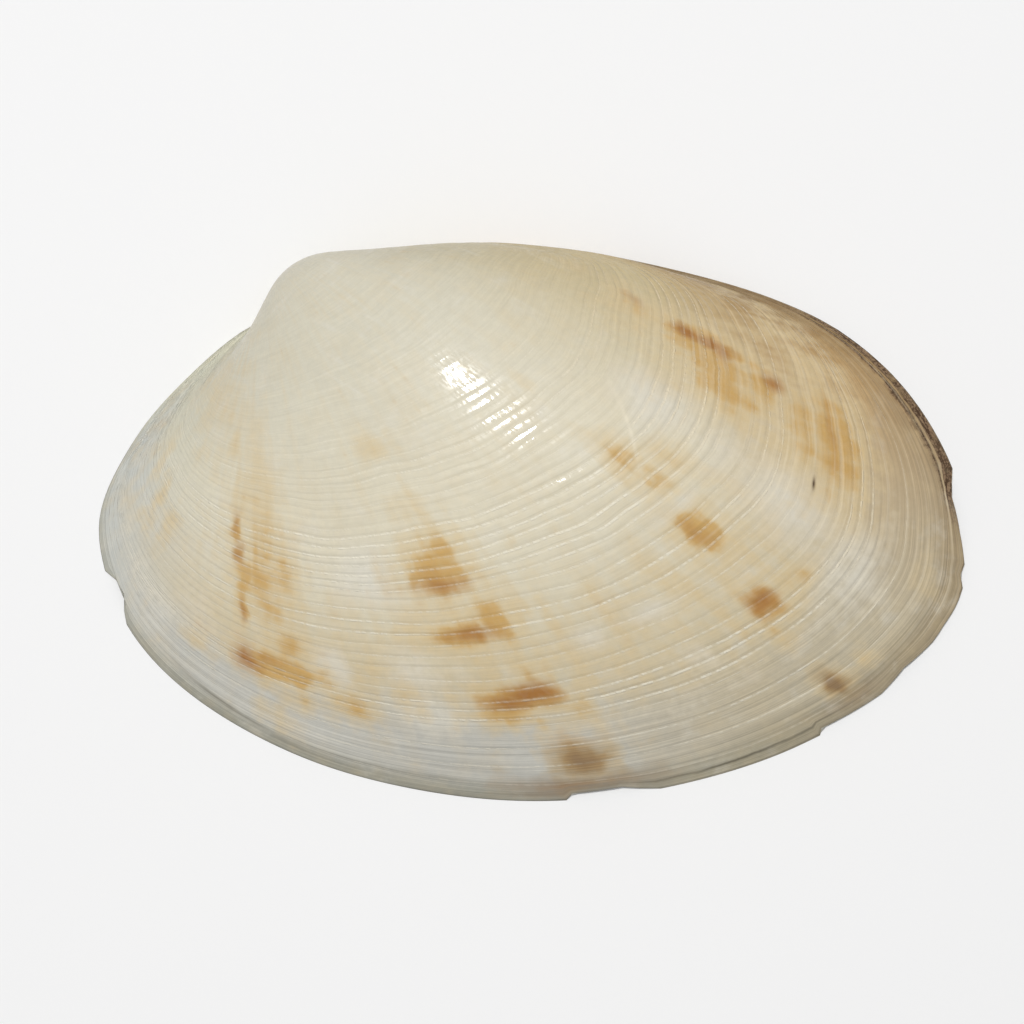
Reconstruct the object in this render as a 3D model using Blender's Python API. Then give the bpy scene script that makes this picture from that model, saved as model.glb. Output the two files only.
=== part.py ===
"""Left valve of a venus clam: one loose shell lying on its rim, hollow side down.

The valve is drawn the way it grew. Its rim is one closed outline in the plane z = 0. Every younger
rim is the same outline made smaller about the beak, tilted up about the hinge line and turned a little
in plan, by equal angles for equal ratios of size, so the stack of rims is a logarithmic spiral. The
flank behind the umbo then bulges a little over the hinge line. The hollow is the surface that keeps
one wall thickness from the outside, closed off by the flat hinge plate.

Run it with blender --background --python part.py, or from Blender's text editor. Units are metres,
+X points to the hind end of the shell, +Y to its hinge side and +Z away from the surface it lies on.
"""

import math

import bmesh
import bpy
import numpy as np
from mathutils import Matrix, Vector
from mathutils.bvhtree import BVHTree

MM = 0.001

# Driving sizes of the outline: points of the rim, in millimetres from the beak, going from the beak
# round the front end, the free edge and the hind end, and back along the hinge side.
RIM_POINTS_MM = (
    (0.3, -0.45),
    (-1.9, -1.35),
    (-4.4, -3.4),
    (-7.0, -6.4),
    (-8.7, -10.25),
    (-8.0, -13.9),
    (-6.5, -16.4),
    (-3.6, -18.95),
    (1.3, -21.45),
    (7.2, -22.9),
    (12.7, -23.2),
    (18.4, -22.4),
    (23.8, -20.6),
    (28.4, -17.75),
    (31.15, -14.35),
    (31.6, -11.65),
    (31.1, -8.25),
    (28.95, -4.35),
    (25.95, -1.55),
    (22.6, 0.12),
    (17.05, 1.68),
    (11.65, 2.55),
    (5.8, 2.4),
    (2.6, 0.95),
)

# Growth: angles gained each time the shell was smaller by a factor of e.
HINGE_LINE_ANGLE = math.radians(29.1)
TILT_PER_FOLD = math.radians(44.7)
TURN_PER_FOLD = math.radians(5.4)
YOUNGEST_SIZE = 0.05

# The dome: each height of the plain spiral is raised by this power law, which leaves the top and the
# rim where they are and makes the flanks rise steeper from the rim.
DOME_FULLNESS = 1.22

# The flank behind the umbo bulges over the hinge line. From the beak: it starts, is full, starts to
# fade and has faded at these places along the length; it starts and is full at these places across;
# and it is full from this height up.
FLANK_FULLNESS = 0.8 * MM
FLANK_SPAN = (2.5 * MM, 10.0 * MM, 14.0 * MM, 26.0 * MM)
FLANK_START = -3.5 * MM
FLANK_FULL = 1.2 * MM
FLANK_HEIGHT = 2.2 * MM

# Wall: thickness of the middle and of the free edge, and the width of the belt over which it grows
# from one to the other. The hollow's surface may stray this much from the wall's thickness.
WALL_MIDDLE = 1.25 * MM
WALL_EDGE = 0.62 * MM
EDGE_BELT = 6.0 * MM
WALL_TOLERANCE = 0.001 * MM
WALL_TRIES = 40

# Underside: least and most width of the rim's flat, width of the hinge plate and how far it runs in
# front of the beak and behind it. Inwards from the rim the hollow rises at least and at most this much.
RIM_WIDTH = 0.75 * MM
RIM_WIDTH_MOST = 1.65 * MM
HINGE_PLATE_WIDTH = 2.8 * MM
HINGE_PLATE_FRONT = 8.0 * MM
HINGE_PLATE_BACK = 15.0 * MM
HOLLOW_SLOPE_LEAST = 0.15
HOLLOW_SLOPE_MOST = 2.6

# What has broken off the rim: (distance along the rim from the beak, depth lost), millimetres.
BROKEN_EDGE_MM = (
    (16.3, 0.0),
    (17.1, 0.36),
    (18.0, 0.52),
    (18.5, 0.2),
    (19.0, 0.0),
    (41.9, 0.0),
    (42.3, 0.3),
    (44.7, 0.38),
    (45.4, 0.2),
    (46.3, 0.0),
    (54.1, 0.0),
    (54.4, 0.27),
    (57.6, 0.17),
    (59.2, 0.42),
    (61.0, 0.24),
    (62.0, 0.28),
    (63.9, 0.12),
    (64.4, 0.33),
    (65.0, 0.15),
    (66.4, 0.38),
    (68.0, 0.52),
    (68.8, 0.3),
    (69.6, 0.0),
)
# A broken edge moves the lines just above it too: by this power of the age that is left.
BREAK_FADE = 12
# No place of the rim counts as nearer the beak than this when a depth is turned into growth.
LEAST_REACH = 5.0 * MM

# Sockets between the hinge teeth: (place along the hinge line, place across it, length, width,
# direction in degrees from the hinge line), millimetres.
SOCKETS_MM = (
    (-1.2, 1.55, 1.9, 0.55, 118.0),
    (0.6, 1.6, 2.0, 0.5, 82.0),
    (2.9, 1.5, 3.0, 0.55, 24.0),
)
SOCKET_DEPTH = 0.55 * MM
LIGAMENT_GROOVE_MM = (6.9, 1.95, 5.2, 0.5, 24.0)

# Faceting: points round each ring, rings of the outside and of the hollow, and how much closer the
# hollow's rings lie together near the rim. The last ring stops this share of a step from its middle.
AROUND = 92
GROWTH_STEPS = 28
HOLLOW_STEPS = 12
HOLLOW_CROWDING = 1.15
HOLLOW_MIDDLE = 0.35
# Points of the smooth outline between two given ones, and how many neighbours on each side the rim's
# width is averaged over.
CURVE_STEPS = 60
RIM_SMOOTHING = 3


def smooth_closed_curve(points, count):
    """Evenly spaced points of a closed cubic curve through the given ones."""
    points = np.asarray(points, float)
    total = len(points)
    curve = []
    for i in range(total):
        before, start, end, after = (points[(i + k - 1) % total] for k in range(4))
        gaps = [np.linalg.norm(b - a) ** 0.5 for a, b in ((before, start), (start, end), (end, after))]
        leave = (start - before) / gaps[0] - (end - before) / (gaps[0] + gaps[1]) + (end - start) / gaps[1]
        arrive = (end - start) / gaps[1] - (after - start) / (gaps[1] + gaps[2]) + (after - end) / gaps[2]
        for t in np.linspace(0.0, 1.0, CURVE_STEPS, endpoint=False):
            curve.append(
                (2 * t**3 - 3 * t**2 + 1) * start
                + (t**3 - 2 * t**2 + t) * leave * gaps[1]
                + (3 * t**2 - 2 * t**3) * end
                + (t**3 - t**2) * arrive * gaps[1]
            )
    curve = np.array(curve + curve[:1])
    run = np.concatenate([[0.0], np.cumsum(np.linalg.norm(np.diff(curve, axis=0), axis=1))])
    places = np.linspace(0.0, run[-1], count, endpoint=False)
    evenly = np.stack([np.interp(places, run, curve[:, axis]) for axis in range(2)], axis=1)
    return evenly, places


def outward_normals(rim):
    along = np.roll(rim, -1, axis=0) - np.roll(rim, 1, axis=0)
    normals = np.stack([along[:, 1], -along[:, 0]], axis=1)
    return normals / np.linalg.norm(normals, axis=1)[:, None]


def smoothstep(value):
    value = np.clip(value, 0.0, 1.0)
    return value * value * (3.0 - 2.0 * value)


def edge_sizes(rim, normals, places):
    """The growth size at which the shell now ends, below 1 where its edge is broken away."""
    stations, depths = np.array(BROKEN_EDGE_MM).T * MM
    depth = np.interp(places, stations, depths)
    reach = np.maximum(np.einsum("ij,ij->i", rim, normals), LEAST_REACH)
    return 1.0 - depth / reach


def grown(rim, size):
    """The rim when the shell was this much smaller; size is one number, or one for each rim point."""
    folds = -np.log(np.broadcast_to(size, len(rim)))
    axis = np.array([-math.cos(HINGE_LINE_ANGLE), -math.sin(HINGE_LINE_ANGLE), 0.0]) * TILT_PER_FOLD
    axis[2] = TURN_PER_FOLD
    rate = np.linalg.norm(axis)
    axis /= rate
    flat = np.column_stack([rim, np.zeros(len(rim))])
    cosine = np.cos(rate * folds)[:, None]
    sine = np.sin(rate * folds)[:, None]
    turned = (
        flat * cosine
        + np.cross(axis, flat) * sine
        + axis * (flat @ axis)[:, None] * (1.0 - cosine)
    )
    return turned * np.exp(-folds)[:, None]


def filled_out(rings):
    """The rings with their heights raised into a fuller dome."""
    top = max(ring[:, 2].max() for ring in rings)
    for ring in rings:
        share = np.clip(ring[:, 2] / top, 0.0, 1.0)
        ring[:, 2] = top * (1.0 - (1.0 - share) ** DOME_FULLNESS)
    return rings


def bulged(rings):
    """The rings with the flank behind the umbo pushed out over the hinge line."""
    start, full, fading, end = FLANK_SPAN
    for ring in rings:
        across = smoothstep((ring[:, 1] - FLANK_START) / (FLANK_FULL - FLANK_START))
        rising = smoothstep((ring[:, 0] - start) / (full - start))
        falling = smoothstep((end - ring[:, 0]) / (end - fading))
        height = smoothstep(ring[:, 2] / FLANK_HEIGHT)
        ring[:, 1] += FLANK_FULLNESS * across * rising * falling * height
    return rings


def rim_width(places, normals, outside):
    """Width of the flat rim: the hinge plate by the beak, and elsewhere what one wall covers in plan."""
    rise = outside[1] - outside[0]
    inward = -np.einsum("ij,ij->i", rise[:, :2], normals)
    steepness = rise[:, 2] / np.hypot(inward, rise[:, 2])
    edge = np.clip(WALL_EDGE / steepness, RIM_WIDTH, RIM_WIDTH_MOST)
    shifts = range(-RIM_SMOOTHING, RIM_SMOOTHING + 1)
    edge = sum(np.roll(edge, shift) for shift in shifts) / len(shifts)
    length = places[-1] + places[1]
    after = places / HINGE_PLATE_FRONT
    before = (length - places) / HINGE_PLATE_BACK
    plate = 1.0 - smoothstep(np.minimum(after, before))
    return edge + (HINGE_PLATE_WIDTH - edge) * plate


def hollow_rings(outside, inner_rim):
    """Rings of the hollow's surface, from the inner rim to the last one round its middle."""
    polygons = []
    for start in range(0, (len(outside) - 1) * AROUND, AROUND):
        for j in range(AROUND):
            after = (j + 1) % AROUND
            lower = (start + j, start + after)
            upper = (start + AROUND + after, start + AROUND + j)
            polygons.append(lower + upper)
    surface = BVHTree.FromPolygons([Vector(point) for point in np.concatenate(outside)], polygons)
    above = 2.0 * max(ring[:, 2].max() for ring in outside)
    centre = inner_rim[:, :2].mean(axis=0)
    found = [inner_rim]
    for step in range(1, HOLLOW_STEPS + 1):
        inward = (step / (HOLLOW_STEPS + HOLLOW_MIDDLE)) ** HOLLOW_CROWDING
        ring = inner_rim.copy()
        ring[:, :2] = centre + (inner_rim[:, :2] - centre) * (1.0 - inward)
        for j in range(AROUND):
            place = Vector((ring[j, 0], ring[j, 1], above))
            top = surface.ray_cast(place, Vector((0.0, 0.0, -1.0)))[0]
            from_rim = float(np.linalg.norm(ring[j, :2] - inner_rim[j, :2]))
            belt = float(smoothstep(np.array(from_rim / EDGE_BELT)))
            wall = WALL_EDGE + (WALL_MIDDLE - WALL_EDGE) * belt
            height = (top.z if top else 0.0) - wall
            for _ in range(WALL_TRIES):
                near = surface.find_nearest(Vector((ring[j, 0], ring[j, 1], height)))[3]
                if near >= wall - WALL_TOLERANCE:
                    break
                height -= wall - near
            start = inner_rim[j, 2]
            least = start + HOLLOW_SLOPE_LEAST * from_rim
            most = start + HOLLOW_SLOPE_MOST * from_rim
            ring[j, 2] = max(least, min(height, most))
        found.append(ring)
    return found


def lofted(rings, name):
    """One closed mesh from rings of equally many points, with its two ends capped by fans."""
    mesh = bmesh.new()
    loops = [[mesh.verts.new(point) for point in ring] for ring in rings]
    for lower, upper in zip(loops, loops[1:]):
        for j in range(AROUND):
            after = (j + 1) % AROUND
            mesh.faces.new((lower[j], lower[after], upper[after], upper[j]))
    for loop in (loops[0], loops[-1]):
        middle = mesh.verts.new(sum((vert.co for vert in loop), Vector()) / AROUND)
        for j in range(AROUND):
            mesh.faces.new((loop[j], loop[(j + 1) % AROUND], middle))
    bmesh.ops.recalc_face_normals(mesh, faces=mesh.faces)
    bmesh.ops.triangulate(mesh, faces=mesh.faces)
    data = bpy.data.meshes.new(name)
    mesh.to_mesh(data)
    mesh.free()
    return data


def to_hinge(along, across):
    """A place given along the hinge line from the beak and across it towards the free edge, in plan."""
    line = Vector((math.cos(HINGE_LINE_ANGLE), math.sin(HINGE_LINE_ANGLE), 0.0))
    free = Vector((math.sin(HINGE_LINE_ANGLE), -math.cos(HINGE_LINE_ANGLE), 0.0))
    return (line * along + free * across) * MM


def add_cutter(name, spec, shift, collection):
    """An egg-shaped cutter half sunk in the hinge plate."""
    along, across, length, width, direction = spec
    mesh = bmesh.new()
    bmesh.ops.create_uvsphere(mesh, u_segments=12, v_segments=6, radius=1.0)
    data = bpy.data.meshes.new(name)
    mesh.to_mesh(data)
    mesh.free()
    turn = Matrix.Rotation(HINGE_LINE_ANGLE - math.radians(direction), 4, "Z")
    size = Matrix.Diagonal((length * MM / 2, width * MM / 2, SOCKET_DEPTH, 1.0))
    data.transform(turn @ size)
    cutter = bpy.data.objects.new(name, data)
    cutter.location = to_hinge(along, across) + shift
    cutter.hide_render = True
    cutter.display_type = "WIRE"
    collection.objects.link(cutter)
    return cutter


def shell_material():
    material = bpy.data.materials.new("cream shell")
    material.use_nodes = True
    principled = material.node_tree.nodes["Principled BSDF"]
    principled.inputs["Base Color"].default_value = (0.62, 0.53, 0.37, 1.0)
    principled.inputs["Roughness"].default_value = 0.42
    principled.inputs["Metallic"].default_value = 0.0
    return material


def build_valve(collection, cutters):
    rim, places = smooth_closed_curve(np.array(RIM_POINTS_MM) * MM, AROUND)
    normals = outward_normals(rim)
    edge = edge_sizes(rim, normals, places)
    sizes = []
    for step in range(GROWTH_STEPS + 1):
        age = step / GROWTH_STEPS
        sizes.append((1.0 - (1.0 - edge) * (1.0 - age) ** BREAK_FADE) * YOUNGEST_SIZE**age)
    outside = bulged(filled_out([grown(rim, size) for size in sizes]))
    inner_rim = outside[0].copy()
    inner_rim[:, :2] -= normals * rim_width(places, normals, outside)[:, None]
    rings = outside[::-1] + hollow_rings(outside, inner_rim)

    points = np.concatenate(rings)
    low, high = points.min(axis=0), points.max(axis=0)
    shift = Vector((-(low[0] + high[0]) / 2, -(low[1] + high[1]) / 2, -low[2]))
    data = lofted(rings, "left_valve")
    data.transform(Matrix.Translation(shift))
    data.materials.append(shell_material())
    valve = bpy.data.objects.new("left_valve", data)
    collection.objects.link(valve)

    specs = {f"socket_{i + 1}": spec for i, spec in enumerate(SOCKETS_MM)}
    specs["ligament_groove"] = LIGAMENT_GROOVE_MM
    for name, spec in specs.items():
        cut = valve.modifiers.new(name, "BOOLEAN")
        cut.operation = "DIFFERENCE"
        cut.solver = "EXACT"
        cut.object = add_cutter(name, spec, shift, cutters)
    data.shade_smooth()
    return valve


def main():
    for old in list(bpy.data.objects):
        bpy.data.objects.remove(old)
    part = bpy.data.collections.new("venus_clam_shell")
    cutters = bpy.data.collections.new("cutters")
    for collection in (part, cutters):
        bpy.context.scene.collection.children.link(collection)
    build_valve(part, cutters)


main()
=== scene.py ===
"""Left valve of a venus clam: one loose shell lying on its rim on a pale floor.

The outside is grown in Geometry Nodes from the flat outline of the rim: every younger growth line is
the same outline made smaller about the beak, tilted about the hinge line and turned in plan. Raised
growth cords follow the lines. The hollow is offset from the outside by the wall and ends in the hinge
plate with its teeth. Units are metres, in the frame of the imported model.
"""

import math

import bmesh
import bpy
import numpy as np
from bpy.props import FloatProperty, FloatVectorProperty, IntProperty, PointerProperty
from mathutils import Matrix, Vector
from mathutils.bvhtree import BVHTree


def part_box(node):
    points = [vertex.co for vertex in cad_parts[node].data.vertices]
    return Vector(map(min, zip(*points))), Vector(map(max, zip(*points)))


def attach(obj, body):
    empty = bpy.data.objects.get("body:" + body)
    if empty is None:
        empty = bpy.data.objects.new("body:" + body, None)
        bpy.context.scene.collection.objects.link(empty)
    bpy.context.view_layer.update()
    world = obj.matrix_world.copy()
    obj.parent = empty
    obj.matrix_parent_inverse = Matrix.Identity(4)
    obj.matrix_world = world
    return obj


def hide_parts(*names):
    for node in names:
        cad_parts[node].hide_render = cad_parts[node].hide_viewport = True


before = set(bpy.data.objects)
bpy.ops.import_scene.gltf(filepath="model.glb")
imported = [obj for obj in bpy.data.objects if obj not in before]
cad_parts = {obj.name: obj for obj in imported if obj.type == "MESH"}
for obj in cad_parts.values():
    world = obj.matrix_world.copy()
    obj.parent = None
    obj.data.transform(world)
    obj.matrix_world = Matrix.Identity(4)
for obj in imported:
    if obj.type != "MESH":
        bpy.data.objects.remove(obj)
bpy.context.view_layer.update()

bl_info = {
    "name": "Venus clam shell",
    "version": (1, 0, 0),
    "blender": (4, 5, 0),
    "location": "3D View > Sidebar > Shell",
    "description": "Grows the left valve of a venus clam and sets a pale stage for it",
    "category": "Object",
}

VALVE_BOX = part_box("left_valve")
MM = 0.001

# The rim, as points in millimetres from the beak: from the beak round the front end, the free edge
# and the hind end, and back along the hinge side.
RIM_POINTS_MM = (
    (0.3, -0.45), (-1.9, -1.35), (-4.4, -3.4), (-7.0, -6.4), (-8.7, -10.25), (-8.0, -13.9),
    (-6.5, -16.4), (-3.6, -18.95), (1.3, -21.45), (7.2, -22.9), (12.7, -23.2), (18.4, -22.4),
    (23.8, -20.6), (28.4, -17.75), (31.15, -14.35), (31.6, -11.65), (31.1, -8.25), (28.95, -4.35),
    (25.95, -1.55), (22.6, 0.12), (17.05, 1.68), (11.65, 2.55), (5.8, 2.4), (2.6, 0.95),
)

# Steps of the curve from one of these points to the next, and evenly spaced points kept of the whole.
CURVE_STEPS = 60
RIM_STEPS = 2088

# Points to each side that a value is evened out over.
EVENED_OUT = 6

# What has broken off the rim: (distance along the rim from the beak, depth lost), millimetres.
BROKEN_EDGE_MM = (
    (16.3, 0.0), (17.1, 0.36), (18.0, 0.52), (18.5, 0.2), (19.0, 0.0), (41.9, 0.0), (42.3, 0.3),
    (44.7, 0.38), (45.4, 0.2), (46.3, 0.0), (54.1, 0.0), (54.4, 0.27), (57.6, 0.17), (59.2, 0.42),
    (61.0, 0.24), (62.0, 0.28), (63.9, 0.12), (64.4, 0.33), (65.0, 0.15), (66.4, 0.38),
    (68.0, 0.52), (68.8, 0.3), (69.6, 0.0),
)

# A broken edge is measured as if the rim were never nearer to the beak than this.
LEAST_REACH = 5.0 * MM

# How much later each place along the rim reached a growth line: (place in mm, share of full size).
LINE_LAG = (
    (0.0, 0.0), (4.0, 0.05), (8.0, 0.1), (12.0, 0.11), (16.0, 0.075), (20.0, 0.05), (30.0, 0.022),
    (38.0, 0.008), (48.0, 0.0), (58.0, 0.0), (64.0, 0.012), (70.0, 0.035), (76.0, 0.095),
    (79.0, 0.14), (84.0, 0.15), (92.0, 0.1), (98.0, 0.04), (104.34, 0.0),
)

# Growth cords: (size, gap to the next), the spread of gaps and heights, the oldest cord's height, the
# gap before the last growth lines, the most of a gap that half a cord takes, and its half width.
CORD_GAPS = (
    (0.28, 0.0115), (0.44, 0.012), (0.5, 0.0145), (0.56, 0.0155), (0.63, 0.0165), (0.69, 0.0185),
    (0.78, 0.0175), (0.86, 0.014), (0.9, 0.0125),
)
CORD_GAP_SPREAD = (0.82, 1.18)
CORD_HEIGHT_SPREAD = (0.65, 1.15)
OLDEST_CORD_HEIGHT = 0.5
MARGIN_GAP = 0.012
HALF_CORD_SHARE = 0.3
CORD_HALF_WIDTH = 0.0042

# Places on the outside are given in growth coordinates: millimetres along the rim from the beak, and
# the share of its full size that the shell had reached. Each mark is (place, size, half its width in
# mm, half its height in size, strength).
TAN_MARKS = (
    (40.6, 0.6, 2.6, 0.04, 0.9), (41.6, 0.565, 1.7, 0.03, 0.85), (41.0, 0.505, 1.8, 0.026, 0.5),
    (40.4, 0.412, 1.5, 0.018, 0.6), (40.4, 0.703, 2.7, 0.02, 0.9), (43.0, 0.685, 1.1, 0.036, 0.95),
    (37.5, 0.655, 2.4, 0.018, 0.25), (42.0, 0.81, 2.5, 0.024, 1.0), (40.8, 0.835, 1.8, 0.022, 0.8),
    (44.8, 0.835, 0.9, 0.022, 0.6), (42.4, 0.855, 0.5, 0.022, 0.6), (43.0, 0.775, 0.8, 0.03, 0.6),
    (43.5, 0.93, 1.3, 0.036, 0.85), (42.6, 0.885, 0.9, 0.02, 0.4), (41.5, 0.66, 3.2, 0.11, 0.3),
    (28.2, 0.812, 2.3, 0.036, 1.0), (28.6, 0.76, 1.4, 0.04, 0.7), (27.6, 0.86, 0.9, 0.02, 0.5),
    (29.4, 0.87, 1.5, 0.024, 0.6), (32.4, 0.845, 1.1, 0.034, 0.75), (22.9, 0.86, 1.0, 0.026, 0.42),
    (33.2, 0.79, 0.8, 0.034, 0.5), (34.0, 0.765, 0.9, 0.02, 0.45), (35.4, 0.81, 0.8, 0.03, 0.48),
    (36.2, 0.835, 0.6, 0.02, 0.4), (26.4, 0.5, 2.1, 0.13, 0.6), (27.2, 0.63, 2.4, 0.08, 0.75),
    (27.4, 0.69, 1.8, 0.035, 0.7), (25.4, 0.64, 1.0, 0.07, 0.75), (24.0, 0.52, 0.5, 0.14, 0.5),
    (23.0, 0.39, 0.8, 0.03, 0.75), (22.4, 0.45, 2.0, 0.1, 0.3), (24.3, 0.56, 0.6, 0.03, 0.8),
    (24.9, 0.61, 0.7, 0.024, 0.8), (25.7, 0.715, 0.35, 0.035, 0.7), (58.4, 0.56, 1.2, 0.04, 0.75),
    (58.6, 0.6, 1.1, 0.026, 0.75), (59.5, 0.7, 2.4, 0.04, 0.4),
    (60.4, 0.595, 1.5, 0.03, 0.55), (57.8, 0.68, 1.0, 0.035, 1.0), (57.1, 0.8, 0.9, 0.027, 0.85),
    (59.5, 0.8, 1.4, 0.022, 0.6), (56.4, 0.84, 0.8, 0.03, 0.55), (56.4, 0.94, 0.8, 0.024, 0.75),
    (58.4, 0.94, 0.4, 0.014, 0.5), (58.4, 0.42, 0.8, 0.014, 0.35), (71.8, 0.59, 1.9, 0.06, 1.0),
    (69.2, 0.615, 2.8, 0.06, 0.85), (70.0, 0.672, 2.4, 0.026, 0.8), (72.6, 0.49, 2.4, 0.04, 0.65),
    (75.6, 0.41, 1.4, 0.024, 0.5), (67.4, 0.57, 2.2, 0.06, 0.5), (68.0, 0.73, 2.8, 0.03, 0.75),
    (68.2, 0.785, 3.6, 0.045, 0.85), (71.5, 0.83, 3.0, 0.03, 0.4), (64.2, 0.76, 1.6, 0.04, 0.45),
    (16.5, 0.64, 0.5, 0.09, 0.5), (14.9, 0.6, 0.5, 0.09, 0.4), (18.4, 0.68, 0.8, 0.06, 0.4),
    (92.5, 0.85, 3.0, 0.08, 0.9),
    (27.5, 0.93, 1.2, 0.03, 0.4), (63.8, 0.935, 1.0, 0.02, 0.2), (73.0, 0.74, 2.4, 0.03, 0.5),
    (18.0, 0.32, 6.0, 0.09, 0.5), (90.0, 0.66, 4.0, 0.14, 0.6),
    (25.6, 0.635, 2.4, 0.06, 0.42), (59.8, 0.675, 1.6, 0.04, 0.4), (72.4, 0.53, 2.0, 0.05, 0.5),
    (74.5, 0.755, 2.6, 0.04, 0.42), (44.4, 0.86, 1.8, 0.03, 0.34),
)
BROWN_MARKS = (
    (40.6, 0.625, 1.7, 0.012, 0.6), (40.0, 0.6, 1.4, 0.01, 0.3), (41.3, 0.703, 1.4, 0.009, 0.8),
    (39.5, 0.706, 1.0, 0.007, 0.4), (42.8, 0.803, 1.2, 0.016, 1.0), (41.4, 0.815, 1.4, 0.011, 0.8),
    # The two marks at size about 0.975 darken a strip just inside the free edge.
    (43.5, 0.93, 1.1, 0.032, 0.9), (42.9, 0.974, 3.0, 0.018, 0.85), (56.4, 0.975, 1.4, 0.016, 0.5),
    (91.0, 0.74, 2.6, 0.1, 0.4), (26.1, 0.82, 0.7, 0.024, 0.9), (27.2, 0.798, 1.2, 0.01, 0.4),
    (24.2, 0.555, 0.35, 0.018, 0.5), (24.8, 0.607, 0.5, 0.02, 0.6), (25.6, 0.72, 0.2, 0.022, 0.5),
    (57.6, 0.68, 0.5, 0.022, 0.45), (57.1, 0.797, 0.65, 0.013, 0.85), (56.4, 0.94, 0.5, 0.018, 0.9),
    (72.3, 0.572, 0.6, 0.016, 1.0), (72.1, 0.605, 0.5, 0.024, 0.95), (71.6, 0.622, 0.8, 0.01, 0.9),
    (70.6, 0.69, 0.6, 0.013, 0.75), (73.7, 0.497, 0.6, 0.012, 0.4), (68.5, 0.78, 2.4, 0.006, 0.3),
)
MILKY_MARKS = (
    (64.2, 0.54, 2.4, 0.05, 0.8), (58.2, 0.642, 1.9, 0.01, 0.8), (63.0, 0.63, 2.0, 0.03, 0.55),
    (62.8, 0.74, 2.0, 0.06, 0.9), (52.0, 0.735, 1.4, 0.018, 0.7), (47.8, 0.74, 1.2, 0.02, 0.7),
    (35.4, 0.6, 2.4, 0.05, 0.9), (31.6, 0.56, 3.0, 0.05, 0.4), (31.3, 0.775, 1.2, 0.035, 0.9),
    (36.6, 0.76, 1.8, 0.04, 0.7), (36.6, 0.84, 1.6, 0.04, 0.8), (52.4, 0.82, 1.0, 0.03, 0.5),
    (22.0, 0.76, 3.0, 0.06, 0.35), (19.0, 0.83, 3.6, 0.07, 0.45), (39.2, 0.76, 0.9, 0.02, 0.5),
    (61.5, 0.84, 2.2, 0.05, 0.8), (60.2, 0.87, 5.0, 0.022, 0.45), (50.0, 0.87, 4.6, 0.016, 0.4),
)

# A healed crack, running slantwise over the growth lines: (place, size, half width, half height,
# strength) and its slant in millimetres per unit of size. A small pit.
HEALED_CRACK = (60.6, 0.54, 0.16, 0.03, 1.0)
CRACK_SLANT = -47.0
PIT = (64.7, 0.7525, 0.26, 0.0018, 1.0)

# Painted shade in the grooves under the last thin layers of the free edge: (place, size there, slant in size
# to a millimetre, half length in mm, half width in size, strength).
EDGE_GROOVE_SHADES = (
    (50.2, 0.984, -0.0003, 5.2, 0.0022, 0.85), (25.6, 0.967, 0.0035, 3.4, 0.005, 0.5),
    (34.0, 0.966, 0.0, 5.0, 0.003, 0.3),
)

# Ground colours. Each layer after the first fades in between two places along the rim, and changes from the
# beak to the edge through (size, colour) stops. The grey of the belt colours and the darkness of the edge,
# warm edge and front edge colours are painted shade: the darkness beneath the thin shell showing through it.
GROUNDS = (
    (None, (
        (0.08, "umbo"), (0.3, "umbo"), (0.5, "cream"), (0.62, "cream"), (0.76, "warm_cream"),
        (0.88, "belt"), (0.95, "belt"), (0.985, "edge"),
    )),
    ((41.0, 53.0), (
        (0.08, "umbo"), (0.3, "umbo"), (0.5, "cream"), (0.62, "cream"), (0.8, "warm_cream"),
        (0.88, "warm_belt"), (0.94, "warm_belt"), (0.98, "warm_edge"),
    )),
    ((25.0, 11.0), (
        (0.1, "umbo"), (0.24, "front"), (0.54, "front"), (0.68, "front_belt"), (0.95, "front_belt"),
        (1.0, "front_edge"),
    )),
    ((58.0, 78.0), (
        (0.08, "umbo"), (0.2, "flank"), (0.36, "hind_young"), (0.52, "hind_young"), (0.74, "hind"),
        (0.87, "hind"), (0.98, "hind_edge"), (1.0, "hind_edge"),
    )),
)

# Noises on the growth chart: cells to a millimetre along a line, cells to the full size, layer, detail.
CHART_NOISES = {
    "streaks": (1.2, 7.0, 3.0, 0.5), "bands": (0.22, 60.0, 5.0, 3.0), "lit": (0.35, 60.0, 9.0, 1.0),
    "beads": (3.3, 84.0, 11.0, 1.0), "striae": (0.3, 85.0, 13.0, 1.0), "strands": (0.9, 260.0, 15.0, 3.0),
    "hairs": (0.05, 115.0, 17.0, 1.0), "hatch": (0.12, 460.0, 19.0, 2.0),
}
CHART_NOISE_ROUGHNESS = 0.55

# A mark's falloff, and its ragged edge: coarse and fine cells of the noise that moves it, to a
# millimetre along a line and to the full size, and how far each moves it in millimetres and in size.
MARK_FALLOFF = -0.55
RAGGED_CELLS = ((0.42, 17.0), (2.6, 60.0))
RAGGED_PLACE_REACH = (1.3, 0.22)
RAGGED_SIZE_REACH = (0.016, 0.005)

# Noises in space: cells to a metre, detail, roughness. One is read at a shifted place.
SOLID_NOISES = {
    "clouds": (260.0, 3.0, 0.6), "blotches": (750.0, 3.0, 0.6), "speckle": (3000.0, 3.0, 0.6),
    "grain": (6500.0, 2.0, 0.7), "clumps": (1300.0, 4.0, 0.65), "paleness": (600.0, 4.0, 0.62),
    "inner_clouds": (170.0, 3.0, 0.6), "inner_speckle": (2600.0, 2.0, 0.6),
}
NOISE_SHIFTS = {"paleness": (0.3, 0.1, 0.2)}

# Scratches on the umbo: (angle in radians, shift) of each direction, and cells to a metre.
SCRATCHES = ((0.5, 0.2), (-0.75, 0.6))
SCRATCH_CELLS = (110.0, 2600.0, 300.0)

# Crust on the hind edge, in the relief and in the colour: the sizes over which it fades in, and the
# places along the rim from its front and from its back. The gap between its two strips: the size there,
# and the distances from it where the gap and its fade end.
CRUST_RELIEF = ((0.955, 0.975), (65.5, 67.5), (81.0, 78.0))
CRUST_COLOR = ((0.95, 0.966), (65.5, 68.5), (83.0, 78.0))
CRUST_GAP = (0.976, 0.0015, 0.005)

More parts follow.
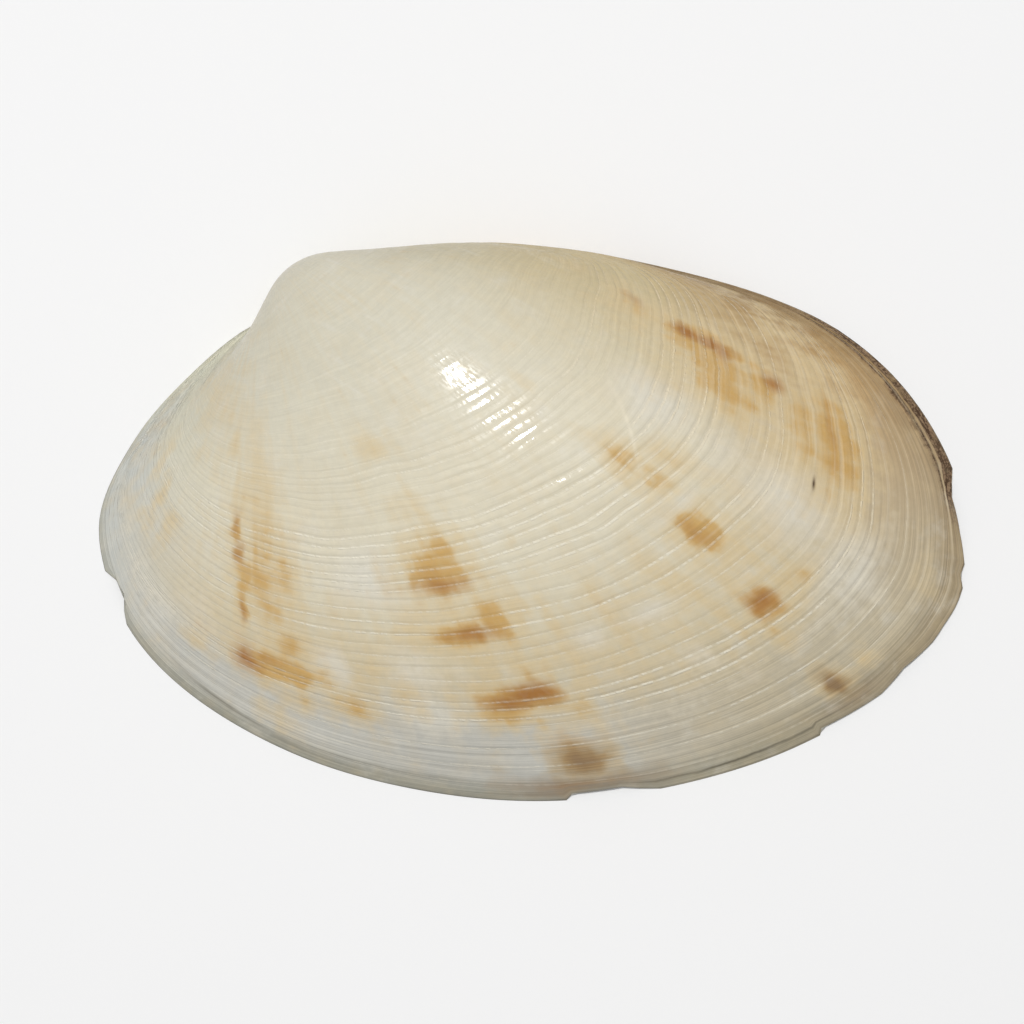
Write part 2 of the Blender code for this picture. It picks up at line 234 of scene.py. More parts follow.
# Depths of the bump in the two materials, the roughness of the outside's glaze and the shine under it.
BUMP_DEPTH = 0.03 * MM
INNER_BUMP_DEPTH = 0.02 * MM
COAT_ROUGHNESS = 0.09
SPECULAR_LEVEL = 0.12

# Growth: angles gained each time the shell was smaller by a factor of e, the fuller dome, and the rows
# of the chart before the first cord and between the last one and the edge.
HINGE_LINE_ANGLE = math.radians(29.1)
TILT_PER_FOLD = math.radians(44.7)
TURN_PER_FOLD = math.radians(5.4)
DOME_FULLNESS = 1.22
UMBO_FULLNESS = 0.8 * MM
YOUNGEST_SIZE = 0.02
UMBO_ROWS = 18
UMBO_ROWS_END = 0.985
LAST_ROW_SHARES = (0.5, 0.1)

# Lengths along a line over which it wavers, its cord fades and its fine lines fade; fine lines to the
# full size; crust grains to a metre; the radius inside which the relief gets lower; and how far the
# noises move on from one seed to the next, over the growth and from one cord to the next.
WAVER_LENGTH = 9.0 * MM
CORD_PATCH_LENGTH = 6.0 * MM
FINE_LINE_LENGTH = 16.0 * MM
FINE_LINES = 210.0
CRUST_GRAINS = 2600.0
CROWDED_RADIUS = 21.0 * MM
SEED_STEP = 3.7
GROWTH_STEP = 9.0
CORD_STEP = 1.7

# The last growth lines before the free edge: (size, height).
MARGIN_CORDS = (
    (0.871, 0.55), (0.886, 0.6), (0.899, 0.9), (0.915, 0.3), (0.933, 0.8), (0.953, 0.5), (0.968, 0.7),
    (0.983, 0.5),
)

# Section of a cord: (offset from its crest in half widths, height), grooved on the umbo's side. Cords
# below a size, which are small, have every second point of it.
CORD_PROFILE = (
    (-1.5, 0.0), (-0.85, -0.2), (-0.4, 0.35), (-0.05, 1.0), (0.35, 0.9), (0.9, 0.35), (1.8, 0.0),
)
WHOLE_PROFILE_FROM = 0.43

# Gaps between the mesh's places along the rim, in millimetres: (place, gap).
OUTER_GAPS = ((0.0, 0.7), (7.0, 0.6), (10.0, 0.38), (78.0, 0.38), (82.0, 0.6), (104.0, 0.7))
INNER_GAPS = ((0.0, 0.17), (9.0, 0.2), (14.0, 0.5), (86.0, 0.5), (92.0, 0.2), (104.0, 0.17))

# Wall, rim and hinge plate. The hollow is lowered in a few tries until its wall is the right one but
# for a slack.
WALL_MIDDLE = 1.1 * MM
WALL_EDGE = 0.55 * MM
WALL_SLACK = 0.002 * MM
WALL_TRIES = 40
EDGE_BELT = 6.0 * MM
RIM_WIDTH = 0.7 * MM
RIM_WIDEST = 2.2 * RIM_WIDTH
RIM_TUCK = 0.05 * MM
ROUNDED_FROM = 0.75
PLATE_STEP = 0.16
LEAST_SLOPE = 0.1
TINY = 1e-9
HINGE_PLATE_WIDTH = 3.0 * MM
HINGE_PLATE_FRONT = 8.0 * MM
HINGE_PLATE_BACK = 15.0 * MM
PLATE_WALL_SLOPE = 2.6
PLATE_EXTRA_SLOPE = 2.0
HOLLOW_SLOPE = 0.12
PLATE_HEIGHT = 0.4 * MM
PLATE_WALL = 0.3 * MM
GROUND_GAP = 0.02 * MM
CLEFT_DEPTH = 0.22 * MM
RIM_SHARES = (0.02, *(0.06 * step for step in range(1, 17)), 1.0)
HOLLOW_STEPS = 30
HOLLOW_CROWDING = 1.2
LAST_STEP_SHARE = 0.35

# Sockets and teeth of the hinge: (place along the hinge line, place across it, length, width,
# direction in degrees from the hinge line), millimetres.
SOCKETS = ((-1.2, 1.55, 2.1, 0.75, 118.0), (0.6, 1.6, 2.3, 0.7, 82.0), (2.9, 1.5, 3.2, 0.75, 24.0))
SOCKET_DEPTH = 0.7 * MM
TEETH = (
    (-2.0, 1.3, 1.8, 0.6, 138.0), (-0.3, 1.7, 2.3, 0.8, 100.0), (1.7, 1.75, 2.8, 0.65, 52.0),
    (6.0, 1.35, 5.6, 0.7, 22.0),
)
TOOTH_CLEFTS = ((-0.3, 1.9, 1.9, 0.22, 100.0), (6.3, 1.9, 5.0, 0.35, 22.0))

# How flat-bottomed they are: 1 for a plain bowl, less for a flatter one.
SOCKET_FLATNESS, TOOTH_FLATNESS, CLEFT_FLATNESS = 0.7, 0.45, 0.6

# Muscle scars inside: (x, y, length, width, direction in degrees), millimetres in plan from the beak.
# One end is narrower by the taper, and the edge fades in between two shares of the half width.
MUSCLE_SCARS = ((-4.9, -8.4, 4.6, 2.9, 62.0), (24.2, -6.6, 4.6, 3.6, 120.0))
SCAR_TAPER = 0.25
SCAR_EDGE = (1.06, 0.92)

# Stage: places in metres from the middle of the ground under the valve, angles in radians, and the
# camera's sensor in millimetres.
FLOOR_SIDE = 1.6
FLOOR_NEAR = 0.03
FLOOR_FAR = 0.13
CAMERA_PLACE = np.array([0.003215, -0.005524, 0.194275])
CAMERA_TURN = (0.030835, 0.020857, 0.005756)
KEY_AIM = np.array([-0.003, 0.0065, 0.0075])
KEY_DIRECTION = (-0.08, 0.145, 1.0)
KEY_DISTANCE = 0.35
KEY_SIZE = (0.01, 0.045)
SENSOR_WIDTH = 36.0
NEAREST_SEEN = 0.01
WHITE = (1.0, 1.0, 1.0, 1.0)


def smoothstep(value):
    value = np.clip(value, 0.0, 1.0)
    return value * value * (3.0 - 2.0 * value)


def fade(value, start, end):
    """A smooth step from 0 at the start to 1 at the end, which may lie below it."""
    return smoothstep((value - start) / (end - start))


def smooth_closed_curve(points, count):
    """Evenly spaced points of a closed cubic curve through the given ones, and their places along it."""
    points = np.asarray(points, float)
    total = len(points)
    curve = []
    for i in range(total):
        before, start, end, after = (points[(i + k - 1) % total] for k in range(4))
        gaps = [np.linalg.norm(b - a) ** 0.5 for a, b in ((before, start), (start, end), (end, after))]
        leave = (start - before) / gaps[0] - (end - before) / (gaps[0] + gaps[1]) + (end - start) / gaps[1]
        arrive = (end - start) / gaps[1] - (after - start) / (gaps[1] + gaps[2]) + (after - end) / gaps[2]
        for t in np.linspace(0.0, 1.0, CURVE_STEPS, endpoint=False):
            curve.append(
                (2 * t**3 - 3 * t**2 + 1) * start
                + (t**3 - 2 * t**2 + t) * leave * gaps[1]
                + (3 * t**2 - 2 * t**3) * end
                + (t**3 - t**2) * arrive * gaps[1]
            )
    curve = np.array(curve + curve[:1])
    run = np.concatenate([[0.0], np.cumsum(np.linalg.norm(np.diff(curve, axis=0), axis=1))])
    places = np.linspace(0.0, run[-1], count, endpoint=False)
    evenly = np.stack([np.interp(places, run, curve[:, axis]) for axis in range(2)], axis=1)
    return evenly, places, run[-1]


def outward_normals(rim):
    along = np.roll(rim, -1, axis=0) - np.roll(rim, 1, axis=0)
    normals = np.stack([along[:, 1], -along[:, 0]], axis=1)
    return normals / np.linalg.norm(normals, axis=1)[:, None]


RIM_LINE, RIM_PLACES, RIM_LENGTH = smooth_closed_curve(np.array(RIM_POINTS_MM) * MM, RIM_STEPS)
RIM_NORMALS = outward_normals(RIM_LINE)


def closed_places(places):
    return np.append(places, RIM_LENGTH)


def round_the_rim(places, values, stations=RIM_PLACES):
    """Values given at stations round the rim, read off at other places along it."""
    wrapped, stations = np.mod(places, RIM_LENGTH), closed_places(stations)
    closed = np.concatenate([values, values[:1]])
    return np.stack([np.interp(wrapped, stations, closed[:, k]) for k in range(values.shape[1])], axis=1)


def spread_places(gaps, corners=()):
    """Places round the rim with gaps that follow (place, gap) stations, with some moved onto corners."""
    stations, sizes = np.array(gaps).T * MM
    places = [0.0]
    while places[-1] < RIM_LENGTH:
        places.append(places[-1] + float(np.interp(places[-1], stations, sizes)))
    places = np.array(places[:-1]) * (RIM_LENGTH / places[-1])
    for corner in corners:
        places[np.argmin(np.abs(places - corner))] = corner
    return places


def edge_sizes(places):
    """The growth size at which the shell now ends, below 1 where its edge is broken away."""
    stations, depths = np.array(BROKEN_EDGE_MM).T * MM
    depth = np.interp(places, stations, depths)
    outline, normals = round_the_rim(places, RIM_LINE), round_the_rim(places, RIM_NORMALS)
    reach = np.maximum(np.einsum("ij,ij->i", outline, normals), LEAST_REACH)
    return 1.0 - depth / reach


def cord_crests(seed):
    """Sizes at which the raised cords run, from the first one that isn't worn away, and their heights."""
    draw = np.random.default_rng(seed)
    sizes, gaps = np.array(CORD_GAPS).T
    crests = [(float(sizes[0]), OLDEST_CORD_HEIGHT)]
    while crests[-1][0] < MARGIN_CORDS[0][0] - MARGIN_GAP:
        gap = np.interp(crests[-1][0], sizes, gaps) * draw.uniform(*CORD_GAP_SPREAD)
        crests.append((crests[-1][0] + gap, draw.uniform(*CORD_HEIGHT_SPREAD)))
    return crests + list(MARGIN_CORDS)


def chart_rows(seed):
    """Rows of the growth chart: the size of each, the cord's height there and which cord it is on."""
    crests = cord_crests(seed)
    youngest = np.geomspace(YOUNGEST_SIZE, crests[0][0] * UMBO_ROWS_END, UMBO_ROWS)
    rows = [(size, 0.0, 0.0) for size in youngest]
    for number, (crest, height) in enumerate(crests):
        after = crests[number + 1][0] if number + 1 < len(crests) else 1.0
        before = crests[number - 1][0] if number else youngest[-1]
        half = min(CORD_HALF_WIDTH, HALF_CORD_SHARE * (after - crest), HALF_CORD_SHARE * (crest - before))
        profile = CORD_PROFILE if crest > WHOLE_PROFILE_FROM else CORD_PROFILE[::2]
        for offset, lift in profile:
            rows.append((crest + offset * half, lift * height, number))
    rows += [(1.0 - (1.0 - rows[-1][0]) * share, 0.0, len(crests)) for share in LAST_ROW_SHARES]
    return np.array(rows)


class Wire:
    """The output of a node. Arithmetic with it adds the nodes that work the result out."""

    def __init__(self, bench, socket):
        self.bench, self.socket = bench, socket

    def __add__(self, other):
        return self.bench.math("ADD", self, other)

    def __sub__(self, other):
        return self.bench.math("SUBTRACT", self, other)

    def __rsub__(self, other):
        return self.bench.math("SUBTRACT", other, self)

    def __mul__(self, other):
        return self.bench.math("MULTIPLY", self, other)

    def __truediv__(self, other):
        return self.bench.math("DIVIDE", self, other)


class Bench:
    """Adds nodes to one tree and wires them. An input takes a number, a vector, a colour or a Wire."""

    def __init__(self, tree):
        self.tree = tree

    def feed(self, socket, value):
        if isinstance(value, Wire):
            self.tree.links.new(value.socket, socket)
        else:
            socket.default_value = value

    def node(self, kind, inputs=(), **settings):
        """A node, with its inputs given in their order or in a dictionary."""
        made = self.tree.nodes.new(kind)
        for name, value in settings.items():
            setattr(made, name, value)
        for key, value in inputs.items() if isinstance(inputs, dict) else enumerate(inputs):
            self.feed(made.inputs[key], value)
        return made

    def out(self, kind, inputs=(), output=0, **settings):
        """One output of a new node."""
        return Wire(self, self.node(kind, inputs, **settings).outputs[output])

    def outs(self, node):
        return {socket.name: Wire(self, socket) for socket in node.outputs}

    def math(self, operation, *values):
        return self.out("ShaderNodeMath", values, operation=operation)

    def clamp(self, value):
        return self.out("ShaderNodeClamp", (value,))

    def add_vectors(self, first, second):
        return self.out("ShaderNodeVectorMath", (first, second), operation="ADD")

    def scale(self, vector, factor):
        return self.out("ShaderNodeVectorMath", {0: vector, "Scale": factor}, operation="SCALE")

    def length(self, vector):
        return self.out("ShaderNodeVectorMath", (vector,), "Value", operation="LENGTH")

    def join(self, x, y, z=0.0):
        return self.out("ShaderNodeCombineXYZ", (x, y, z))

    def split(self, vector):
        return list(self.outs(self.node("ShaderNodeSeparateXYZ", (vector,))).values())

    def remap(self, value, from_low, from_high, to_low=0.0, to_high=1.0, smooth=True):
        """A value stretched from one range onto another and held at its ends."""
        return self.out(
            "ShaderNodeMapRange", (value, from_low, from_high, to_low, to_high),
            interpolation_type="SMOOTHSTEP" if smooth else "LINEAR",
        )

    def noise(self, place, scale=1.0, detail=2.0, roughness=0.5, output=0):
        inputs = {"Vector": place, "Scale": scale, "Detail": detail, "Roughness": roughness}
        return self.out("ShaderNodeTexNoise", inputs, output)

    def mix(self, factor, first, second, blend="MIX"):
        colors = {0: factor, 6: first, 7: second}
        return self.out("ShaderNodeMix", colors, 2, data_type="RGBA", blend_type=blend)

    def ramp(self, value, stops):
        """A colour that follows a value through (value, colour) stops."""
        made = self.node("ShaderNodeValToRGB", (value,))
        elements = made.color_ramp.elements
        while len(elements) < len(stops):
            elements.new(1.0)
        for element, (position, color) in zip(elements, stops):
            element.position = position
            element.color = color
        return Wire(self, made.outputs["Color"])

    def group(self, tree, **inputs):
        made = self.node(self.tree.bl_idname.replace("Tree", "Group"), node_tree=tree)
        for name, value in inputs.items():
            self.feed(made.inputs[name.replace("_", " ")], value)
        return self.outs(made)


def new_group(name, kind, inputs, outputs, **socket_kinds):
    """A node group with its sockets: its Bench, its inputs as Wires and its output node's inputs.

    The inputs are {name: default}. A socket is a float, or what socket_kinds says.
    """
    tree = bpy.data.node_groups.new(name, kind)
    for direction, labels in (("INPUT", inputs), ("OUTPUT", outputs)):
        for label in labels:
            socket_type = "NodeSocket" + socket_kinds.get(label, "Float")
            socket = tree.interface.new_socket(label, in_out=direction, socket_type=socket_type)
            if direction == "INPUT" and inputs[label] is not None:
                socket.default_value = inputs[label]
    bench = Bench(tree)
    return bench, bench.outs(bench.node("NodeGroupInput")), bench.node("NodeGroupOutput").inputs


def growth_tree(sizes, dome_height, material):
    """Geometry Nodes that turn the flat growth chart into the outside of the shell."""
    inputs = {
        "Chart": None, "Hinge Line Angle": HINGE_LINE_ANGLE, "Tilt per Fold": TILT_PER_FOLD,
        "Turn per Fold": TURN_PER_FOLD, "Dome Height": dome_height, "Dome Fullness": DOME_FULLNESS,
        "Umbo Fullness": UMBO_FULLNESS, "Line Waviness": sizes.waviness, "Cord Height": sizes.cord_height,
        "Fine Line Height": sizes.fine_line_height, "Crust Height": sizes.crust_height,
        "Worn Size": sizes.worn_size, "Seed": float(sizes.seed), "Material": material,
    }
    bench, given, made = new_group(
        "grow_outside", "GeometryNodeTree", inputs, ["Shell"],
        Chart="Geometry", Material="Material", Shell="Geometry",
    )

    def attribute(name, kind="FLOAT"):
        return bench.out("GeometryNodeInputNamedAttribute", {"Name": name}, data_type=kind)

    outline, age, cord = attribute("outline", "FLOAT_VECTOR"), attribute("age"), attribute("cord")

    def line_noise(length, detail, shift):
        """Noise that changes over a length along each line, and from line to line by the shift."""
        return bench.noise(bench.add_vectors(bench.scale(outline, 1.0 / length), shift), 1.0, detail)

    # Size along each growth line: it lags at the two ends, wavers a little, and stops at the broken edge.
    settled = bench.remap(age, 0.72, 1.0, 1.0, 0.0)
    lagging = attribute("lag") * (bench.remap(age, 0.0, 0.35) * settled)
    moved_on = bench.join(0.0, given["Seed"] * SEED_STEP, age * GROWTH_STEP)
    waver = line_noise(WAVER_LENGTH, 2.0, moved_on)
    waver = (waver - 0.5) * given["Line Waviness"] * (settled * bench.remap(age, 0.05, 0.5))
    lost = (1.0 - attribute("edge")) * bench.remap(age, 0.965, 1.0, smooth=False)
    size = age + lagging + (waver - lost)

    # The spiral: tilt and turn by equal angles for equal ratios of size.
    tilt = given["Tilt per Fold"] * -1.0
    cosine, sine = (bench.math(name, given["Hinge Line Angle"]) for name in ("COSINE", "SINE"))
    axis = bench.join(tilt * cosine, tilt * sine, given["Turn per Fold"])
    angle = bench.length(axis) * (bench.math("LOGARITHM", size, math.e) * -1.0)
    turned = bench.out("ShaderNodeVectorRotate", {"Vector": outline, "Axis": axis, "Angle": angle})
    along, beyond, up = bench.split(bench.scale(turned, size))
    short = bench.math("POWER", 1.0 - bench.clamp(up / given["Dome Height"]), given["Dome Fullness"])
    height = given["Dome Height"] * (1.0 - short)

    # The flank behind the umbo stands out over the hinge line.
    bulge = bench.remap(beyond, -3.5 * MM, 1.2 * MM) * given["Umbo Fullness"]
    bulge = bulge * bench.remap(along, 2.5 * MM, 10.0 * MM) * bench.remap(along, 26.0 * MM, 14.0 * MM)
    bulge = bulge * bench.remap(height, 0.0, 2.2 * MM)
    dome = bench.add_vectors(bench.join(along, beyond, height), bench.join(0.0, bulge))
    dome = bench.out("GeometryNodeSetPosition", {"Geometry": given["Chart"], "Position": dome})

    # Relief: cords, worn smooth on the oldest part and low where the lines crowd; fine lines; crust.
    crowding = bench.clamp(bench.length(outline) / CROWDED_RADIUS)
    unworn = bench.remap(size, given["Worn Size"], given["Worn Size"] + 0.3, 0.22, 1.0)
    unworn = unworn * bench.remap(size, 0.84, 0.9, 1.0, 0.6)
    moved_on = bench.join(0.0, 0.0, attribute("cord_number") * CORD_STEP)
    patchy = bench.remap(line_noise(CORD_PATCH_LENGTH, 2.0, moved_on), 0.32, 0.6, 0.4, 1.0)
    cords = cord * (crowding * unworn * patchy) * given["Cord Height"]
    lines = line_noise(FINE_LINE_LENGTH, 1.0, bench.join(0.0, 0.0, size * FINE_LINES)) - 0.5
    lines = lines * bench.remap(size, 0.8, 0.95, 0.25, 1.0) * crowding * given["Fine Line Height"]
    grit = bench.noise(bench.out("GeometryNodeInputPosition"), CRUST_GRAINS, 3.0, 0.7) - 0.4
    grit = grit * attribute("crust") * given["Crust Height"]
    relief = (cords + lines + grit) * bench.remap(age, 0.985, 1.0, 1.0, 0.25)
    offset = bench.scale(bench.out("GeometryNodeInputNormal"), relief)
    shell = bench.out("GeometryNodeSetPosition", {"Geometry": dome, "Offset": offset})
    shell = bench.out("GeometryNodeRealizeInstances", {"Geometry": shell})
    shell = bench.out("GeometryNodeSetMaterial", {"Geometry": shell, "Material": given["Material"]})
    bench.feed(made["Shell"], shell)
    return bench.tree


def spiral_top():
    """Height of the plain spiral, which the dome keeps."""
    rate = math.hypot(TILT_PER_FOLD, TURN_PER_FOLD)
    tilt = np.array([math.cos(HINGE_LINE_ANGLE), math.sin(HINGE_LINE_ANGLE)]) * -TILT_PER_FOLD
    axis = np.append(tilt, TURN_PER_FOLD) / rate
    flat = np.column_stack([RIM_LINE, np.zeros(len(RIM_LINE))])
    top = 0.0
    for size in np.linspace(0.2, 0.8, 121):
        angle = -rate * math.log(size)
        lift = np.cross(axis, flat)[:, 2] * math.sin(angle)
        lift += axis[2] * (flat @ axis) * (1.0 - math.cos(angle))
        top = max(top, size * float(lift.max()))
    return top


def smooth_round(values):
    """Values round the rim, each made the mean of its neighbourhood."""
    return sum(np.roll(values, k) for k in range(-EVENED_OUT, EVENED_OUT + 1)) / (2 * EVENED_OUT + 1)


def build_chart(rows, places):
    """The growth chart: a flat closed band of rows by places, with the values that the tree reads."""
    outline = round_the_rim(places, RIM_LINE)
    across, around = len(rows), len(places)
    points = np.zeros((across, around, 3))
    points[..., :2] = outline[None] * rows[:, 0][:, None, None]
    column = np.arange(around)
    after = (column + 1) % around
    step = (np.arange(across - 1) * around)[:, None]
    quads = np.stack([step + column, step + after, step + around + after, step + around + column], axis=-1)
    chart = bpy.data.meshes.new("growth_chart")
    chart.from_pydata(points.reshape(-1, 3).tolist(), [], quads.reshape(-1, 4).tolist())
    stations, lags = np.array(LINE_LAG).T
    lag = smooth_round(np.interp(places, stations * MM, lags))
    place, age = np.meshgrid(places / MM, rows[:, 0])
    sizes, front, back = CRUST_RELIEF
    values = {
        "age": age,
        "cord": np.repeat(rows[:, 1], around),
        "cord_number": np.repeat(rows[:, 2], around),
        "lag": np.tile(lag, across),
        "edge": np.tile(edge_sizes(places), across),
        "crust": fade(age, *sizes) * fade(place, *front) * fade(place, *back),
    }
    for name, numbers in values.items():
        chart.attributes.new(name, "FLOAT", "POINT").data.foreach_set("value", np.ravel(numbers).astype("f"))
    vectors = np.tile(np.column_stack([outline, np.zeros(around)]), (across, 1))
    chart.attributes.new("outline", "FLOAT_VECTOR", "POINT").data.foreach_set("vector", vectors.ravel())
    return chart


def as_plain_mesh(chart, tree):
    """The mesh that a Geometry Nodes tree makes of another mesh."""
    carrier = bpy.data.objects.new("growth", chart)
    bpy.context.collection.objects.link(carrier)
    modifier = carrier.modifiers.new("grow", "NODES")
    modifier.node_group = tree
    for socket in tree.interface.items_tree:
        if socket.in_out == "INPUT" and socket.socket_type != "NodeSocketGeometry":
            modifier[socket.identifier] = socket.default_value
    graph = bpy.context.evaluated_depsgraph_get()
    grown = bpy.data.meshes.new_from_object(
        carrier.evaluated_get(graph), preserve_all_data_layers=True, depsgraph=graph
    )
    carrier.modifiers.remove(modifier)
    bpy.data.objects.remove(carrier)
    return grown


def to_hinge(points):
    """Places in millimetres along the hinge line from the beak, and across it towards the free edge."""
    line = np.array([math.cos(HINGE_LINE_ANGLE), math.sin(HINGE_LINE_ANGLE)])
    free = np.array([math.sin(HINGE_LINE_ANGLE), -math.cos(HINGE_LINE_ANGLE)])
    return points[:, :2] @ line / MM, points[:, :2] @ free / MM


def place_in_oval(x, y, oval):
    """Places lengthwise and sideways in an oval, which are 1 at its end and at its side."""
    middle_x, middle_y, length, width, direction = oval
    turn = math.radians(direction)
    x, y = x - middle_x, y - middle_y
    lengthwise = x * math.cos(turn) + y * math.sin(turn)
    sideways = y * math.cos(turn) - x * math.sin(turn)
    return lengthwise * 2.0 / length, sideways * 2.0 / width


def bowl(along, across, oval, flatness):
    """How deep each point is inside an oval bowl: 1 in its middle, 0 at its edge."""
    lengthwise, sideways = place_in_oval(along, across, oval)
    return np.clip(1.0 - lengthwise**2 - sideways**2, 0.0, 1.0) ** flatness


def hinge_relief(points):
    """Height of the hinge plate over the ground: teeth come down from it and sockets go up into it."""
    along, across = to_hinge(points)
    height = np.full(len(points), PLATE_HEIGHT)
    for ovals, rise, flatness in (
        (SOCKETS, SOCKET_DEPTH, SOCKET_FLATNESS), (TEETH, GROUND_GAP - PLATE_HEIGHT, TOOTH_FLATNESS),
        (TOOTH_CLEFTS, CLEFT_DEPTH, CLEFT_FLATNESS),
    ):
        for oval in ovals:
            height += rise * bowl(along, across, oval, flatness)
    return np.maximum(height, GROUND_GAP)


def keep_inside(surface, ring, base):
    """Lower the ring where it would come closer than a thin wall to the outside above it."""
    for j, (x, y, height) in enumerate(ring):
        top = surface.ray_cast(Vector((x, y, -MM)), Vector((0.0, 0.0, 1.0)))[0]
        if top:
            ring[j, 2] = min(height, max(base[j], top.z - PLATE_WALL))


def rim_widths(places, slopes):
    """Width of the rim's underside: the hinge plate by the beak, and elsewhere one wall seen in plan."""
    edge = smooth_round(np.clip(WALL_EDGE / slopes, RIM_WIDTH, RIM_WIDEST))
    plate = 1.0 - smoothstep(np.minimum(places / HINGE_PLATE_FRONT, (RIM_LENGTH - places) / HINGE_PLATE_BACK))
    return edge + (HINGE_PLATE_WIDTH - edge) * plate, plate


def hollow_rings(surface, inner_rim, plate):
    """Rings of the hollow from the inner rim to its middle: one wall inside the outer surface."""
    centre = inner_rim[:, :2].mean(axis=0)
    rings = []
    for step in range(1, HOLLOW_STEPS + 1):
        inward = (step / (HOLLOW_STEPS + LAST_STEP_SHARE)) ** HOLLOW_CROWDING
        ring = inner_rim.copy()
        ring[:, :2] = centre + (inner_rim[:, :2] - centre) * (1.0 - inward)
        from_rim = np.linalg.norm(ring[:, :2] - inner_rim[:, :2], axis=1)
        walls = WALL_EDGE + (WALL_MIDDLE - WALL_EDGE) * smoothstep(from_rim / EDGE_BELT)
        for j, wall in enumerate(walls):
            top = surface.ray_cast(Vector((ring[j, 0], ring[j, 1], 1.0)), Vector((0.0, 0.0, -1.0)))[0]
            height = (top.z if top else 0.0) - wall
            for _ in range(WALL_TRIES):
                near = surface.find_nearest(Vector((ring[j, 0], ring[j, 1], height)))[3]
                if near >= wall - WALL_SLACK:
                    break
                height -= wall - near
            lowest = inner_rim[j, 2]
            steep = lowest + (PLATE_WALL_SLOPE + PLATE_EXTRA_SLOPE * plate[j]) * from_rim[j]
            ring[j, 2] = max(lowest + HOLLOW_SLOPE * from_rim[j], min(height, steep))
        rings.append(ring)
    return rings


def share_in_scars(points):
    """How much each point of the hollow lies in a muscle scar, from its place in plan."""
    scar = np.zeros(len(points))
    for oval in MUSCLE_SCARS:
        lengthwise, sideways = place_in_oval(points[:, 0] / MM, points[:, 1] / MM, oval)
        reach = np.hypot(lengthwise, sideways * (1.0 + SCAR_TAPER * lengthwise))
        scar = np.maximum(scar, fade(reach, *SCAR_EDGE))
    return scar


def zip_rings(first_places, second_places):
    """Triangles between two closed rings with points at different places, as (ring, point) corners."""
    first, second = closed_places(first_places), closed_places(second_places)
    i = j = 0
    corners = []
    while i < len(first_places) or j < len(second_places):
        if j == len(second_places) or (i < len(first_places) and first[i + 1] <= second[j + 1]):
            corners.append(((0, i), (0, i + 1), (1, j)))
            i += 1
        else:
            corners.append(((0, i), (1, j + 1), (1, j)))
            j += 1
    return corners


def rim_rings(surface, outside, places, inner_places, roundness):
    """Rings of the rim's underside from the edge inwards, and how much of each place is hinge plate."""
    normals = round_the_rim(inner_places, RIM_NORMALS)
    normals /= np.linalg.norm(normals, axis=1)[:, None]
    last = round_the_rim(inner_places, outside[-1], places)
    rise = round_the_rim(inner_places, outside[-1] - outside[-4], places)
    outward = np.einsum("ij,ij->i", rise[:, :2], normals)
    slopes = np.abs(rise[:, 2]) / np.maximum(np.hypot(outward, rise[:, 2]), TINY)
    widths, plate = rim_widths(inner_places, np.maximum(slopes, LEAST_SLOPE))
    rings = []
    for share in RIM_SHARES:
        ring = last.copy()
        ring[:, :2] -= normals * (widths * share)[:, None]
        base = np.maximum(last[:, 2] - RIM_TUCK, 0.0)
        base += roundness * max(0.0, (share - ROUNDED_FROM) / (1.0 - ROUNDED_FROM)) ** 2
        hinge = smoothstep(plate * 2.4 - 0.5) * fade(share, 0.0, PLATE_STEP)
        ring[:, 2] = base + (hinge_relief(ring) - base) * hinge
        keep_inside(surface, ring, base)
        rings.append(ring)
    return rings, plate


def valve_faces(rows, places, inner_places, ring_count):
    """Outer and inner faces, with corners (point, share of the way round, size or depth inside)."""
    around, inner_around = len(places), len(inner_places)
    first_inner = len(rows) * around
    middle = first_inner + ring_count * inner_around
    share_out, share_in = closed_places(places) / RIM_LENGTH, closed_places(inner_places) / RIM_LENGTH

    def outer(row, k):
        return row * around + k % around, share_out[k], rows[row, 0]

    def inner(ring, k):
        return first_inner + ring * inner_around + k % inner_around, share_in[k], 1.0 + ring / ring_count

    outside, inside = [], []
    for k in range(around):
        outside.append(((middle + 1, share_out[k], 0.0), outer(0, k + 1), outer(0, k)))
        for row in range(len(rows) - 1):
            outside.append((outer(row, k), outer(row, k + 1), outer(row + 1, k + 1), outer(row + 1, k)))
    for corners in zip_rings(places, inner_places):
        inside.append([inner(0, k) if ring else outer(len(rows) - 1, k) for ring, k in corners])
    last = ring_count - 1
    for k in range(inner_around):
        for ring in range(last):
            inside.append((inner(ring, k), inner(ring, k + 1), inner(ring + 1, k + 1), inner(ring + 1, k)))
        inside.append((inner(last, k), inner(last, k + 1), (middle, share_in[k], 2.0)))
    return outside, inside


